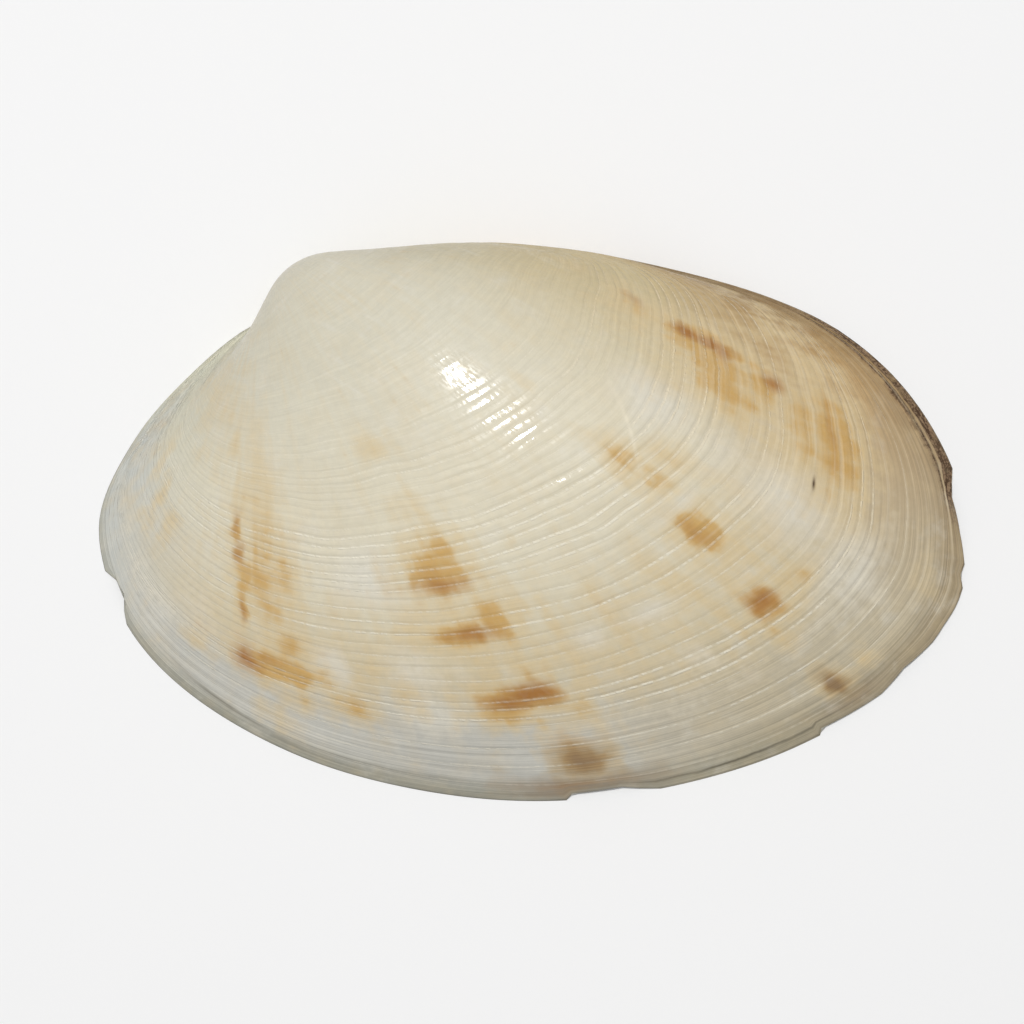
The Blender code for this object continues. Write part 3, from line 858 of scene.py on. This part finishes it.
def close_valve(grown, rows, places, sizes):
    """One closed mesh: the grown outside, its underside rim and hinge plate, and the hollow."""
    count = len(rows) * len(places)
    outside, cords = np.zeros(count * 3, "f"), np.zeros(count, "f")
    grown.vertices.foreach_get("co", outside)
    grown.attributes["cord"].data.foreach_get("value", cords)
    outside = outside.reshape(len(rows), len(places), 3).astype(float)
    outside[..., 2] = np.maximum(outside[..., 2], 0.0)
    surface = BVHTree.FromPolygons(
        [Vector(p) for p in outside.reshape(-1, 3)], [tuple(face.vertices) for face in grown.polygons]
    )
    inner_places = spread_places(INNER_GAPS)
    rings, plate = rim_rings(surface, outside, places, inner_places, sizes.rim_roundness)
    rings += hollow_rings(surface, rings[-1], plate)
    inside = np.concatenate(rings)
    scars = share_in_scars(inside)
    inside[:, 2] += scars * sizes.scar_depth
    middle, tip = inside[-len(inner_places):].mean(axis=0), outside[0].mean(axis=0)
    outside = outside.reshape(-1, 3)
    points = np.concatenate([outside, inside, [middle, tip]])

    low, box = outside.min(axis=0), np.array(VALVE_BOX)
    shift = box.mean(axis=0) - (low + outside.max(axis=0)) / 2
    shift[2] = box[0, 2] - low[2]
    outer_faces, inner_faces = valve_faces(rows, places, inner_places, len(rings))
    faces = outer_faces + inner_faces
    mesh = bpy.data.meshes.new("left_valve_shell")
    mesh.from_pydata((points + shift).tolist(), [], [[corner[0] for corner in face] for face in faces])
    growth = mesh.uv_layers.new(name="growth")
    growth.data.foreach_set("uv", np.array([corner[1:] for face in faces for corner in face], "f").ravel())
    for name, start, values in (("cord", 0, cords), ("scar", count, scars)):
        padded = np.zeros(len(points), "f")
        padded[start:start + len(values)] = values
        mesh.attributes.new(name, "FLOAT", "POINT").data.foreach_set("value", padded)
    mesh.polygons.foreach_set("material_index", [0] * len(outer_faces) + [1] * len(inner_faces))
    whole = bmesh.new()
    whole.from_mesh(mesh)
    bmesh.ops.recalc_face_normals(whole, faces=whole.faces)
    whole.to_mesh(mesh)
    whole.free()
    mesh.shade_smooth()
    return mesh


def growth_coordinates():
    """Group: place along the rim in millimetres and size, with a ragged copy of each for marks."""
    bench, given, made = new_group(
        "growth_coordinates", "ShaderNodeTree", {"Growth": None, "Raggedness": 1.0},
        ("Place", "Size", "Ragged Place", "Ragged Size"), Growth="Vector",
    )
    along, size, _ = bench.split(given["Growth"])
    place = along * (RIM_LENGTH / MM)
    coarse, fine = (
        bench.split(bench.noise(bench.join(place * to_a_mm, size * to_full_size), 1.0, 2.0, 0.6, output=1))
        for to_a_mm, to_full_size in RAGGED_CELLS
    )
    starts = (("Place", place, RAGGED_PLACE_REACH), ("Size", size, RAGGED_SIZE_REACH))
    for axis, (name, start, (wide, narrow)) in enumerate(starts):
        shift = (coarse[axis] - 0.5) * wide + (fine[axis] - 0.5) * narrow
        bench.feed(made[name], start)
        bench.feed(made["Ragged " + name], shift * given["Raggedness"] + start)
    return bench.tree


def mark():
    """Group: a soft-edged mark on the growth chart, added to the marks so far."""
    inputs = {
        "So Far": 0.0, "Place": 0.0, "Size": 0.0, "Middle Place": 0.0, "Middle Size": 0.5,
        "Half Width": 1.0, "Half Height": 0.02, "Strength": 1.0,
    }
    bench, given, made = new_group("mark", "ShaderNodeTree", inputs, ["Mask"])
    across = (given["Place"] - given["Middle Place"]) / given["Half Width"]
    along = (given["Size"] - given["Middle Size"]) / given["Half Height"]
    mask = bench.math("EXPONENT", (across * across + along * along) * MARK_FALLOFF) * given["Strength"]
    bench.feed(made["Mask"], bench.math("MAXIMUM", mask, given["So Far"]))
    return bench.tree


def growth_lines():
    """Group: light and dark lines along the growth lines, as a value about 0 and a height."""
    inputs = {"Place": 0.0, "Size": 0.0, "Lines": 240.0, "Run": 0.08}
    bench, given, made = new_group("growth_lines", "ShaderNodeTree", inputs, ("Shade", "Height"))
    run, across = given["Place"] * given["Run"], given["Size"] * given["Lines"]
    broad = bench.noise(bench.join(run, across), 1.0, 2.0, 0.6)
    fine = bench.noise(bench.join(run * 3.0, across * 4.0, 4.0), 1.0, 2.0, 0.6)
    bench.feed(made["Shade"], fine * 0.6 + broad - 0.8)
    bench.feed(made["Height"], broad * 0.5 + fine)
    return bench.tree


class Surface:
    """A material of the shell in the making: its growth coordinates, its noises and its colour so far."""

    def __init__(self, name, groups):
        self.material = bpy.data.materials.new(name)
        self.material.use_nodes = True
        self.groups, self.noises, self.color = groups, {}, None
        self.bench = Bench(self.material.node_tree)
        growth = self.bench.out("ShaderNodeUVMap", uv_map="growth")
        at = self.bench.group(groups["growth_coordinates"], Growth=growth, Raggedness=1.0)
        self.place, self.size, self.ragged_place, self.ragged_size = at.values()
        self.solid = self.bench.out("ShaderNodeTexCoord", output="Object")

    def attribute(self, name):
        return self.bench.out("ShaderNodeAttribute", output="Fac", attribute_name=name)

    def noise(self, name):
        """A noise of the tables, made when it is first asked for."""
        if name in self.noises:
            return self.noises[name]
        spot, settings = self.solid, SOLID_NOISES.get(name)
        if name in CHART_NOISES:
            along, across, layer, detail = CHART_NOISES[name]
            spot = self.bench.join(self.place * along, self.size * across, layer)
            settings = 1.0, detail, CHART_NOISE_ROUGHNESS
        elif name in NOISE_SHIFTS:
            spot = self.bench.add_vectors(spot, NOISE_SHIFTS[name])
        self.noises[name] = self.bench.noise(spot, *settings)
        return self.noises[name]

    def lines(self, count, run):
        inputs = {"Place": self.place, "Size": self.size, "Lines": count, "Run": run}
        return self.bench.group(self.groups["growth_lines"], **inputs)

    def region(self, places, sizes):
        """A ragged mask that fades in between two places along the rim and between two sizes."""
        return self.bench.remap(self.ragged_place, *places) * self.bench.remap(self.ragged_size, *sizes)

    def marks(self, marks, place, size):
        mask = 0.0
        for middle_place, middle_size, width, height, strength in marks:
            mask = self.bench.group(
                self.groups["mark"], So_Far=mask, Place=place, Size=size, Middle_Place=middle_place,
                Middle_Size=middle_size, Half_Width=width, Half_Height=height, Strength=strength,
            )["Mask"]
        return mask

    def frayed(self, mask, low, high, **amounts):
        """A mask whose edge is broken up by noises, each by its amount."""
        for name, amount in amounts.items():
            mask = (self.noise(name) - 0.5) * amount + mask
        return self.bench.remap(mask, low, high, smooth=False)

    def frayed_marks(self, marks, low, high, **amounts):
        return self.frayed(self.marks(marks, self.ragged_place, self.ragged_size), low, high, **amounts)

    def paint(self, mask, color):
        self.color = self.bench.mix(mask, self.color, color)

    def shade(self, factor):
        """Make the colour lighter or darker by a factor about 1."""
        self.color = self.bench.mix(1.0, self.color, self.bench.join(factor, factor, factor), "MULTIPLY")

    def finish(self, roughness, height, strength, depth, **settings):
        """Feed the shader: what changes over the surface, and plain settings on its own sockets."""
        bump = self.bench.out("ShaderNodeBump", {"Strength": strength, "Distance": depth, "Height": height})
        inputs = {"Base Color": self.color, "Roughness": roughness, "Normal": bump}
        inputs.update({name.replace("_", " "): value for name, value in settings.items()})
        shader = self.material.node_tree.nodes["Principled BSDF"]
        for name, value in inputs.items():
            self.bench.feed(shader.inputs[name], value)
        return self.material


def paint_ground(surface, colors):
    """Ground colours, with tints along the hinge side and on the last growth behind, painted light on the
    flanks beside the beak and painted shade on the hind flank.
    """
    bench, place, size = surface.bench, surface.place, surface.size
    grown = (surface.ragged_size - size) * 0.6 + size
    for fades_in, stops in GROUNDS:
        layer = bench.ramp(grown, [(position, getattr(colors, name)) for position, name in stops])
        if fades_in:
            surface.paint(bench.remap(surface.ragged_place, *fades_in), layer)
        else:
            surface.color = layer
    # Painted light: the steep flanks beside the beak, which turn away from the lamp, get a lighter colour.
    painted_light_near_beak = bench.math("MAXIMUM", bench.remap(place, 11.0, 5.0), bench.remap(place, 96.0, 103.0))
    surface.paint(surface.region((72.5, 80.0), (0.5, 0.84)) * 0.85, colors.hind_edge)
    surface.paint(surface.region((50.0, 60.0), (0.935, 0.98)) * 0.32, colors.hind_edge)
    surface.paint(painted_light_near_beak * 0.8, colors.front_flank_painted_light)
    surface.paint(surface.region((84.0, 94.0), (0.2, 0.5)) * 0.6, colors.flank)
    # Painted shade: darker on the steep hind flank, which turns away from the lamp.
    painted_hind_flank_shade = surface.region((79.0, 85.0), (0.55, 0.7)) * 0.55 + surface.region((74.0, 82.0), (0.6, 0.84))
    surface.shade(painted_hind_flank_shade * -0.19 + ((surface.noise("clouds") - 0.5) * 0.12 + 1.0))


def paint_scratches(surface, colors):
    """Fine scratches over the worn umbo, in two directions."""
    bench = surface.bench
    worn = bench.remap(surface.size, 0.46, 0.3)
    pale = bench.remap(surface.noise("paleness"), 0.4, 0.62, 0.0, 0.32)
    for angle, shift in SCRATCHES:
        turned = bench.out("ShaderNodeVectorRotate", {"Vector": surface.solid, "Angle": angle})
        streaks = bench.out("ShaderNodeVectorMath", (turned, SCRATCH_CELLS), operation="MULTIPLY")
        scratch = bench.noise(bench.add_vectors(streaks, (shift, shift, shift)), 1.0, 1.0, 0.5)
        surface.paint(bench.remap(scratch, 0.63, 0.74) * worn * pale, colors.milky)


def paint_clouds(surface, colors):
    """Faint warm and pale clouds everywhere, tan mottling of the later growth, and milky patches."""
    bench, place, size = surface.bench, surface.place, surface.size
    warm = surface.frayed(0.5, 0.42, 0.86, blotches=0.8, streaks=0.5, bands=0.1)
    surface.paint(warm * 0.3, colors.pale_tan)
    pale = bench.remap(surface.noise("paleness"), 0.5, 0.78, 0.0, 0.35)
    surface.paint(pale * bench.remap(place, 64.0, 76.0, 1.0, 0.2), colors.milky)
    later = bench.remap(size, 0.6, 0.72) * bench.remap(size, 0.9, 0.78)
    later = later * bench.remap(place, 24.0, 42.0, 0.25, 1.0)
    mottle = surface.frayed(0.5, 0.3, 0.72, blotches=0.9, streaks=0.8, bands=0.2)
    surface.paint(mottle * later * 0.7, colors.pale_tan)
    milky = surface.frayed_marks(MILKY_MARKS, 0.25, 0.85, blotches=0.7, streaks=0.5, bands=0.3)
    surface.paint(milky * 0.75, colors.milky)


def paint_marks(surface, colors):
    """Tan marks, paler and yellower towards their edges, their brown hearts, and dark strips just inside the
    free edge. Gives where they are.
    """
    bench, size = surface.bench, surface.size
    tan = surface.frayed_marks(TAN_MARKS, 0.12, 0.92, blotches=0.6, streaks=0.4, bands=0.3)
    tan = tan * bench.remap(size, 0.36, 0.64, 0.6, 1.0)
    tan_color = bench.mix(bench.remap(tan, 0.4, 0.9), colors.pale_tan, colors.tan)
    surface.paint(bench.remap(tan, 0.0, 0.7, smooth=False), tan_color)
    brown = surface.frayed_marks(BROWN_MARKS, 0.12, 0.9, blotches=0.5, streaks=0.3, bands=0.4)
    surface.paint(brown * 0.86, bench.mix(bench.remap(size, 0.86, 0.92), colors.brown, colors.late_brown))
    return bench.math("MAXIMUM", tan, brown)


def paint_crust(surface, colors):
    """Crust in two strips along the hind edge. Gives where it is."""
    bench, ragged_place = surface.bench, surface.ragged_place
    grain, clumps = surface.noise("grain"), surface.noise("clumps")
    crusted = surface.ragged_size - bench.remap(surface.place, 74.0, 68.0, 0.0, 0.012)
    sizes, front, back = CRUST_COLOR
    crust = bench.remap((clumps - 0.5) * 0.03 + crusted, *sizes)
    crust = crust * (bench.remap(ragged_place, *front) * bench.remap(ragged_place, *back))
    middle, near, far = CRUST_GAP
    crust = crust * bench.remap(bench.math("ABSOLUTE", surface.size - middle), near, far)
    crust = crust * bench.remap(grain * 0.5 + clumps, 0.54, 0.76, 0.4, 1.0)
    pale = bench.remap(grain + surface.noise("strands"), 0.9, 1.15)
    surface.paint(crust, bench.mix(pale, colors.crust, colors.crust_pale))
    return crust


def paint_cords(surface, colors, stained):
    """Pale crests, partly their own colour and partly painted glints, and hair lines; painted shade in the
    groove beside each cord; the crack and the pit. Gives the crests.
    """
    bench, place, size, cord = surface.bench, surface.place, surface.size, surface.attribute("cord")
    lit = surface.noise("lit")
    unworn = bench.remap(size, 0.34, 0.6, 0.15, 1.0) * bench.remap(lit, 0.3, 0.62, 0.4, 1.0)
    crest = bench.remap(cord, bench.remap(place, 50.0, 72.0, 0.42, 0.7), 1.0) * unworn
    # Beads make the pale crests brighter in dots: painted glints.
    crest = crest * bench.remap(surface.noise("beads"), 0.36, 0.6, 0.45, 1.25)
    crack = surface.marks((HEALED_CRACK,), (size - HEALED_CRACK[1]) * -CRACK_SLANT + place, size)
    pale = bench.math("MAXIMUM", crack * 0.5, crest * bench.remap(place, 60.0, 74.0, 0.66, 0.88))
    cord_and_glint_color = bench.mix(bench.remap(place, 54.0, 72.0), colors.cord, colors.warm_cord_and_glint)
    surface.paint(pale * (stained * -0.6 + 1.0), cord_and_glint_color)
    hairs = bench.remap(surface.noise("hairs"), 0.52, 0.66) * bench.remap(place, 52.0, 68.0, 0.05, 0.3)
    hairs = hairs * bench.remap(size, 0.4, 0.6) * bench.remap(lit, 0.3, 0.6, 0.5, 1.0)
    surface.paint(hairs, cord_and_glint_color)
    surface.paint(surface.marks((PIT,), place, size), colors.crust)
    # Painted shade in the groove on the umbo's side of each cord.
    painted_groove_shade = bench.remap(cord, -0.03, -0.18) * unworn * bench.remap(place, 56.0, 70.0, 0.4, 0.5)
    surface.shade(painted_groove_shade * -0.2 + 1.0)
    return crest


def paint_edge_groove_shade(surface, colors):
    """Painted shade in the grooves under the last layers of the free edge."""
    bench, size = surface.bench, surface.size
    calm_size = (surface.ragged_size - size) * 0.35 + size
    seam = 0.0
    for middle, size_there, slant, half_width, half_height, strength in EDGE_GROOVE_SHADES:
        along = surface.place - middle
        offset = (calm_size - (along * slant + size_there)) / half_height
        ends = bench.math("POWER", bench.math("ABSOLUTE", along) / half_width, 4.0)
        line = bench.math("EXPONENT", (offset * offset + ends) * -1.0) * strength
        seam = bench.math("MAXIMUM", seam, line)
    surface.paint(seam * bench.remap(surface.noise("lit"), 0.25, 0.6, 0.5, 1.0), colors.seam)


def paint_fine_lines(surface):
    """Fine lines and hatching, stronger towards the free edge and behind, and a speckle."""
    bench, size = surface.bench, surface.size
    amount = bench.remap(size, 0.84, 0.92, 0.08, 0.38) + bench.remap(size, 0.93, 0.975, 0.0, 0.34)
    amount = bench.math("MAXIMUM", amount, bench.remap(surface.place, 58.0, 70.0, 0.0, 0.16))
    fine = surface.lines(150.0, 0.06)["Shade"] * amount
    fine = (surface.noise("hatch") - 0.5) * bench.remap(size, 0.8, 0.96, 0.16, 0.8) + fine
    surface.shade((surface.noise("speckle") - 0.5) * 0.15 + (fine + 1.0))


def outside_material(colors, groups):
    """The coloured outside, with a glaze that breaks up into beads and wears off towards the edge."""
    surface = Surface("shell_outside", groups)
    bench = surface.bench
    paint_ground(surface, colors)
    paint_scratches(surface, colors)
    paint_clouds(surface, colors)
    stained = paint_marks(surface, colors)
    crust = paint_crust(surface, colors)
    crest = paint_cords(surface, colors, stained)
    paint_edge_groove_shade(surface, colors)
    paint_fine_lines(surface)
    beads = surface.noise("beads")
    glaze = bench.remap(beads, 0.43, 0.6, 0.01, 0.5) * (1.0 - crust)
    glaze = glaze * bench.remap(surface.size, 0.8, 0.93, 1.0, 0.05)
    height = surface.noise("speckle") * 0.06 + surface.noise("striae")
    height = surface.noise("grain") * crust * 3.0 + (beads * crest * 1.3 + height)
    return surface.finish(
        crust * 0.4 + 0.4, height, 1.0, BUMP_DEPTH, Coat_Weight=glaze, Coat_Roughness=COAT_ROUGHNESS,
        Specular_IOR_Level=SPECULAR_LEVEL,
    )


def inside_material(colors, groups):
    """Porcelain-like inside, with the muscle scars and a warmer rim."""
    surface = Surface("shell_inside", groups)
    bench, speckle, lines = surface.bench, surface.noise("inner_speckle"), surface.lines(60.0, 0.03)
    cloudy = bench.remap(surface.noise("inner_clouds"), 0.35, 0.7)
    surface.color = bench.mix(cloudy, colors.porcelain, colors.porcelain_warm)
    surface.paint(surface.attribute("scar") * 0.5, colors.scar)
    edge = bench.remap(surface.ragged_size, 1.3, 1.02)
    surface.paint(edge * 0.6, colors.edge)
    off_middle = bench.remap(surface.size, 1.93, 1.7)
    surface.shade(lines["Shade"] * off_middle * 0.06 + 1.0)
    height = speckle * 0.3 + lines["Height"] * off_middle
    return surface.finish(edge * 0.25 + (speckle * 0.12 + 0.22), height, 0.3, INNER_BUMP_DEPTH)


def length_property(name, description, default):
    return FloatProperty(name=name, description=description, default=default, unit="LENGTH")


def share_property(name, description, default):
    return FloatProperty(name=name, description=description, default=default, subtype="FACTOR")


class ShellSizes(bpy.types.PropertyGroup):
    """Sizes of the shell's relief and rim."""

    cord_height: length_property("Cord Height", "Height of a raised growth cord", 0.036 * MM)
    fine_line_height: length_property("Fine Line Height", "Height of the free edge's fine lines", 0.05 * MM)
    crust_height: length_property("Crust Height", "Height of the grains of the hind edge's crust", 0.18 * MM)
    rim_roundness: length_property("Rim Roundness", "Rounding of the rim's inner corner", 0.12 * MM)
    scar_depth: length_property("Scar Depth", "Depth of the muscle scars in the hollow", 0.07 * MM)
    waviness: share_property("Line Waviness", "How much a growth line wavers, as a share of full size", 0.022)
    worn_size: share_property("Worn Size", "Share of full size below which the cords are worn smooth", 0.32)
    seed: IntProperty(name="Seed", description="Seed of everything irregular on the shell", default=7)


def color_property(name, description, red, green, blue):
    return FloatVectorProperty(
        name=name, description=description, default=(red, green, blue, 1.0), size=4, subtype="COLOR",
        min=0.0, max=1.0,
    )


class ShellColors(bpy.types.PropertyGroup):
    """Colours of the shell."""

    umbo: color_property("Umbo", "Worn oldest part", 0.645, 0.61, 0.49)
    cream: color_property("Cream", "Ground colour of the middle", 0.69, 0.635, 0.49)
    warm_cream: color_property("Warm Cream", "Later growth of the middle", 0.625, 0.54, 0.37)
    # The grey of the belts and the darkness of the thin edges are painted shade showing through the thin
    # shell.
    belt: color_property("Belt", "Greyish last growth in front", 0.55, 0.537, 0.48)
    edge: color_property("Edge", "Thin free edge", 0.35, 0.34, 0.28)
    warm_belt: color_property("Warm Belt", "Last growth behind", 0.54, 0.475, 0.345)
    warm_edge: color_property("Warm Edge", "Thin free edge behind", 0.4, 0.36, 0.26)
    front: color_property("Front", "Front end", 0.61, 0.59, 0.475)
    front_belt: color_property("Front Belt", "Last growth of the front end", 0.55, 0.563, 0.525)
    front_edge: color_property("Front Edge", "Thin free edge of the front end", 0.44, 0.44, 0.385)
    hind_young: color_property("Young Hind Part", "Early growth of the hind part", 0.575, 0.475, 0.275)
    hind: color_property("Hind Part", "Later growth of the hind part", 0.48, 0.3, 0.12)
    hind_edge: color_property("Hind Edge", "Last growth of the hind part", 0.36, 0.235, 0.11)
    # Painted light: a lighter colour for the steep flanks beside the beak, which turn away from the lamp.
    front_flank_painted_light: color_property("Front Flank", "Flank before the umbo", 0.8, 0.78, 0.6)
    flank: color_property("Flank", "Flank behind the umbo", 0.53, 0.475, 0.32)
    milky: color_property("Milky", "Milky patches", 0.71, 0.68, 0.59)
    tan: color_property("Tan", "Tan marks", 0.57, 0.365, 0.135)
    pale_tan: color_property("Pale Tan", "Edges of the tan marks", 0.65, 0.515, 0.3)
    brown: color_property("Brown", "Brown hearts of the marks", 0.35, 0.145, 0.035)
    # Also the colour of the dark strips just inside the free edge.
    late_brown: color_property("Late Brown", "Brown hearts of the marks near the edge", 0.25, 0.165, 0.095)
    # The crest colours are partly the cords' own paler colour and partly painted glints.
    cord: color_property("Cord", "Crests of the growth cords", 0.86, 0.81, 0.67)
    warm_cord_and_glint: color_property("Warm Cord", "Crests of the growth cords behind", 0.8, 0.67, 0.45)
    # Painted shade of the grooves along the free edge.
    seam: color_property("Seam", "Seams of the free edge", 0.12, 0.105, 0.07)
    crust: color_property("Crust", "Dark crust of the hind edge", 0.085, 0.05, 0.028)
    crust_pale: color_property("Pale Crust", "Pale grains in the crust", 0.3, 0.2, 0.12)
    porcelain: color_property("Porcelain", "Inside of the shell", 0.82, 0.8, 0.75)
    porcelain_warm: color_property("Warm Porcelain", "Warmer clouds inside", 0.8, 0.74, 0.62)
    scar: color_property("Scar", "Muscle scars inside", 0.72, 0.69, 0.63)


class StageSettings(bpy.types.PropertyGroup):
    """Lamps, floor and camera."""

    key_power: FloatProperty(
        name="Key Power", description="Power of the lamp overhead", default=0.8, unit="POWER"
    )
    fill_strength: FloatProperty(name="Fill Strength", description="Strength of the even light", default=0.38)
    lens: FloatProperty(
        name="Lens", description="Focal length on a 36 mm sensor", default=147.37, subtype="DISTANCE_CAMERA"
    )
    floor_color: color_property("Floor", "Pale floor", 0.9, 0.9, 0.9)


class VENUS_OT_left_valve(bpy.types.Operator):
    """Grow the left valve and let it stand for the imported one"""

    bl_idname = "venus.left_valve"
    bl_label = "Left Valve"

    def execute(self, context):
        sizes, colors = context.scene.venus_sizes, context.scene.venus_colors
        groups = {"growth_coordinates": growth_coordinates(), "mark": mark(), "growth_lines": growth_lines()}
        outside, inside = outside_material(colors, groups), inside_material(colors, groups)
        rows = chart_rows(sizes.seed)
        places = spread_places(OUTER_GAPS, [place * MM for place, _ in BROKEN_EDGE_MM])
        grown = as_plain_mesh(build_chart(rows, places), growth_tree(sizes, spiral_top(), outside))
        mesh = close_valve(grown, rows, places, sizes)
        mesh.materials.append(outside)
        mesh.materials.append(inside)
        valve = bpy.data.objects.new("left_valve_shell", mesh)
        context.collection.objects.link(valve)
        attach(valve, "root")
        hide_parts("left_valve")
        return {"FINISHED"}


class VENUS_OT_stage(bpy.types.Operator):
    """Set the floor, the lamps and the camera"""

    bl_idname = "venus.stage"
    bl_label = "Stage"

    def execute(self, context):
        settings = context.scene.venus_stage
        box = np.array(VALVE_BOX)
        ground = box.mean(axis=0)
        ground[2] = box[0, 2]

        mesh = bpy.data.meshes.new("floor")
        corners = np.array(((-1, -1, 0), (1, -1, 0), (1, 1, 0), (-1, 1, 0))) * (FLOOR_SIDE / 2)
        mesh.from_pydata((ground + corners).tolist(), [], [(0, 1, 2, 3)])
        floor = bpy.data.objects.new("floor", mesh)
        context.collection.objects.link(floor)
        mesh.materials.append(floor_material(settings))

        lamp = bpy.data.lights.new("key", "AREA")
        lamp.shape = "ELLIPSE"
        lamp.size, lamp.size_y = KEY_SIZE
        lamp.energy = settings.key_power
        key = bpy.data.objects.new("key", lamp)
        context.collection.objects.link(key)
        aim = Vector(ground + KEY_AIM)
        key.location = aim + Vector(KEY_DIRECTION).normalized() * KEY_DISTANCE
        key.rotation_euler = (key.location - aim).to_track_quat("Z", "Y").to_euler()

        world = bpy.data.worlds.new("even_light")
        context.scene.world = world
        world.use_nodes = True
        bench = Bench(world.node_tree)
        background = world.node_tree.nodes["Background"].inputs
        strength = background_rays(bench) * (1.0 - settings.fill_strength) + settings.fill_strength
        bench.feed(background["Color"], WHITE)
        bench.feed(background["Strength"], strength)

        lens = bpy.data.cameras.new("camera")
        lens.lens = settings.lens
        lens.sensor_width = SENSOR_WIDTH
        lens.clip_start = NEAREST_SEEN
        camera = bpy.data.objects.new("camera", lens)
        camera.location = ground + CAMERA_PLACE
        camera.rotation_euler = CAMERA_TURN
        context.collection.objects.link(camera)
        context.scene.camera = camera
        context.scene.view_settings.view_transform = "Standard"
        return {"FINISHED"}


def floor_material(settings):
    material = bpy.data.materials.new("pale_floor")
    material.use_nodes = True
    shader = material.node_tree.nodes["Principled BSDF"]
    bench = Bench(material.node_tree)
    bench.feed(shader.inputs["Base Color"], settings.floor_color)
    bench.feed(shader.inputs["Roughness"], 0.9)

    # Far from the shell the floor turns into the white of the background.
    away = bench.length(bench.out("ShaderNodeTexCoord", output="Object"))
    far = bench.remap(away, FLOOR_NEAR, FLOOR_FAR) * background_rays(bench)
    white = bench.out("ShaderNodeEmission", {"Color": WHITE, "Strength": 1.0})
    blend = bench.out("ShaderNodeMixShader", (far, Wire(bench, shader.outputs[0]), white))
    bench.feed(material.node_tree.nodes["Material Output"].inputs["Surface"], blend)
    return material


def background_rays(bench):
    """One for the rays that show the background: from the camera, and through reflections and glass."""
    path = bench.outs(bench.node("ShaderNodeLightPath"))
    seen = bench.math("MAXIMUM", path["Is Camera Ray"], path["Is Glossy Ray"])
    return bench.math("MAXIMUM", seen, path["Is Transmission Ray"])


class VENUS_PT_panel(bpy.types.Panel):
    """Sizes, colours and steps of the venus clam shell"""

    bl_idname = "VENUS_PT_panel"
    bl_label = "Venus Clam Shell"
    bl_space_type = "VIEW_3D"
    bl_region_type = "UI"
    bl_category = "Shell"

    def draw(self, context):
        layout = self.layout
        for group in (context.scene.venus_sizes, context.scene.venus_colors, context.scene.venus_stage):
            box = layout.box()
            for name in group.__annotations__:
                box.prop(group, name)
        for operator in (VENUS_OT_left_valve, VENUS_OT_stage):
            layout.operator(operator.bl_idname)


CLASSES = (ShellSizes, ShellColors, StageSettings, VENUS_OT_left_valve, VENUS_OT_stage, VENUS_PT_panel)


def register():
    for each in CLASSES:
        bpy.utils.register_class(each)
    bpy.types.Scene.venus_sizes = PointerProperty(type=ShellSizes)
    bpy.types.Scene.venus_colors = PointerProperty(type=ShellColors)
    bpy.types.Scene.venus_stage = PointerProperty(type=StageSettings)


def unregister():
    del bpy.types.Scene.venus_stage
    del bpy.types.Scene.venus_colors
    del bpy.types.Scene.venus_sizes
    for each in reversed(CLASSES):
        bpy.utils.unregister_class(each)


def main():
    register()
    bpy.ops.venus.left_valve()
    bpy.ops.venus.stage()


if __name__ == "__main__":
    main()
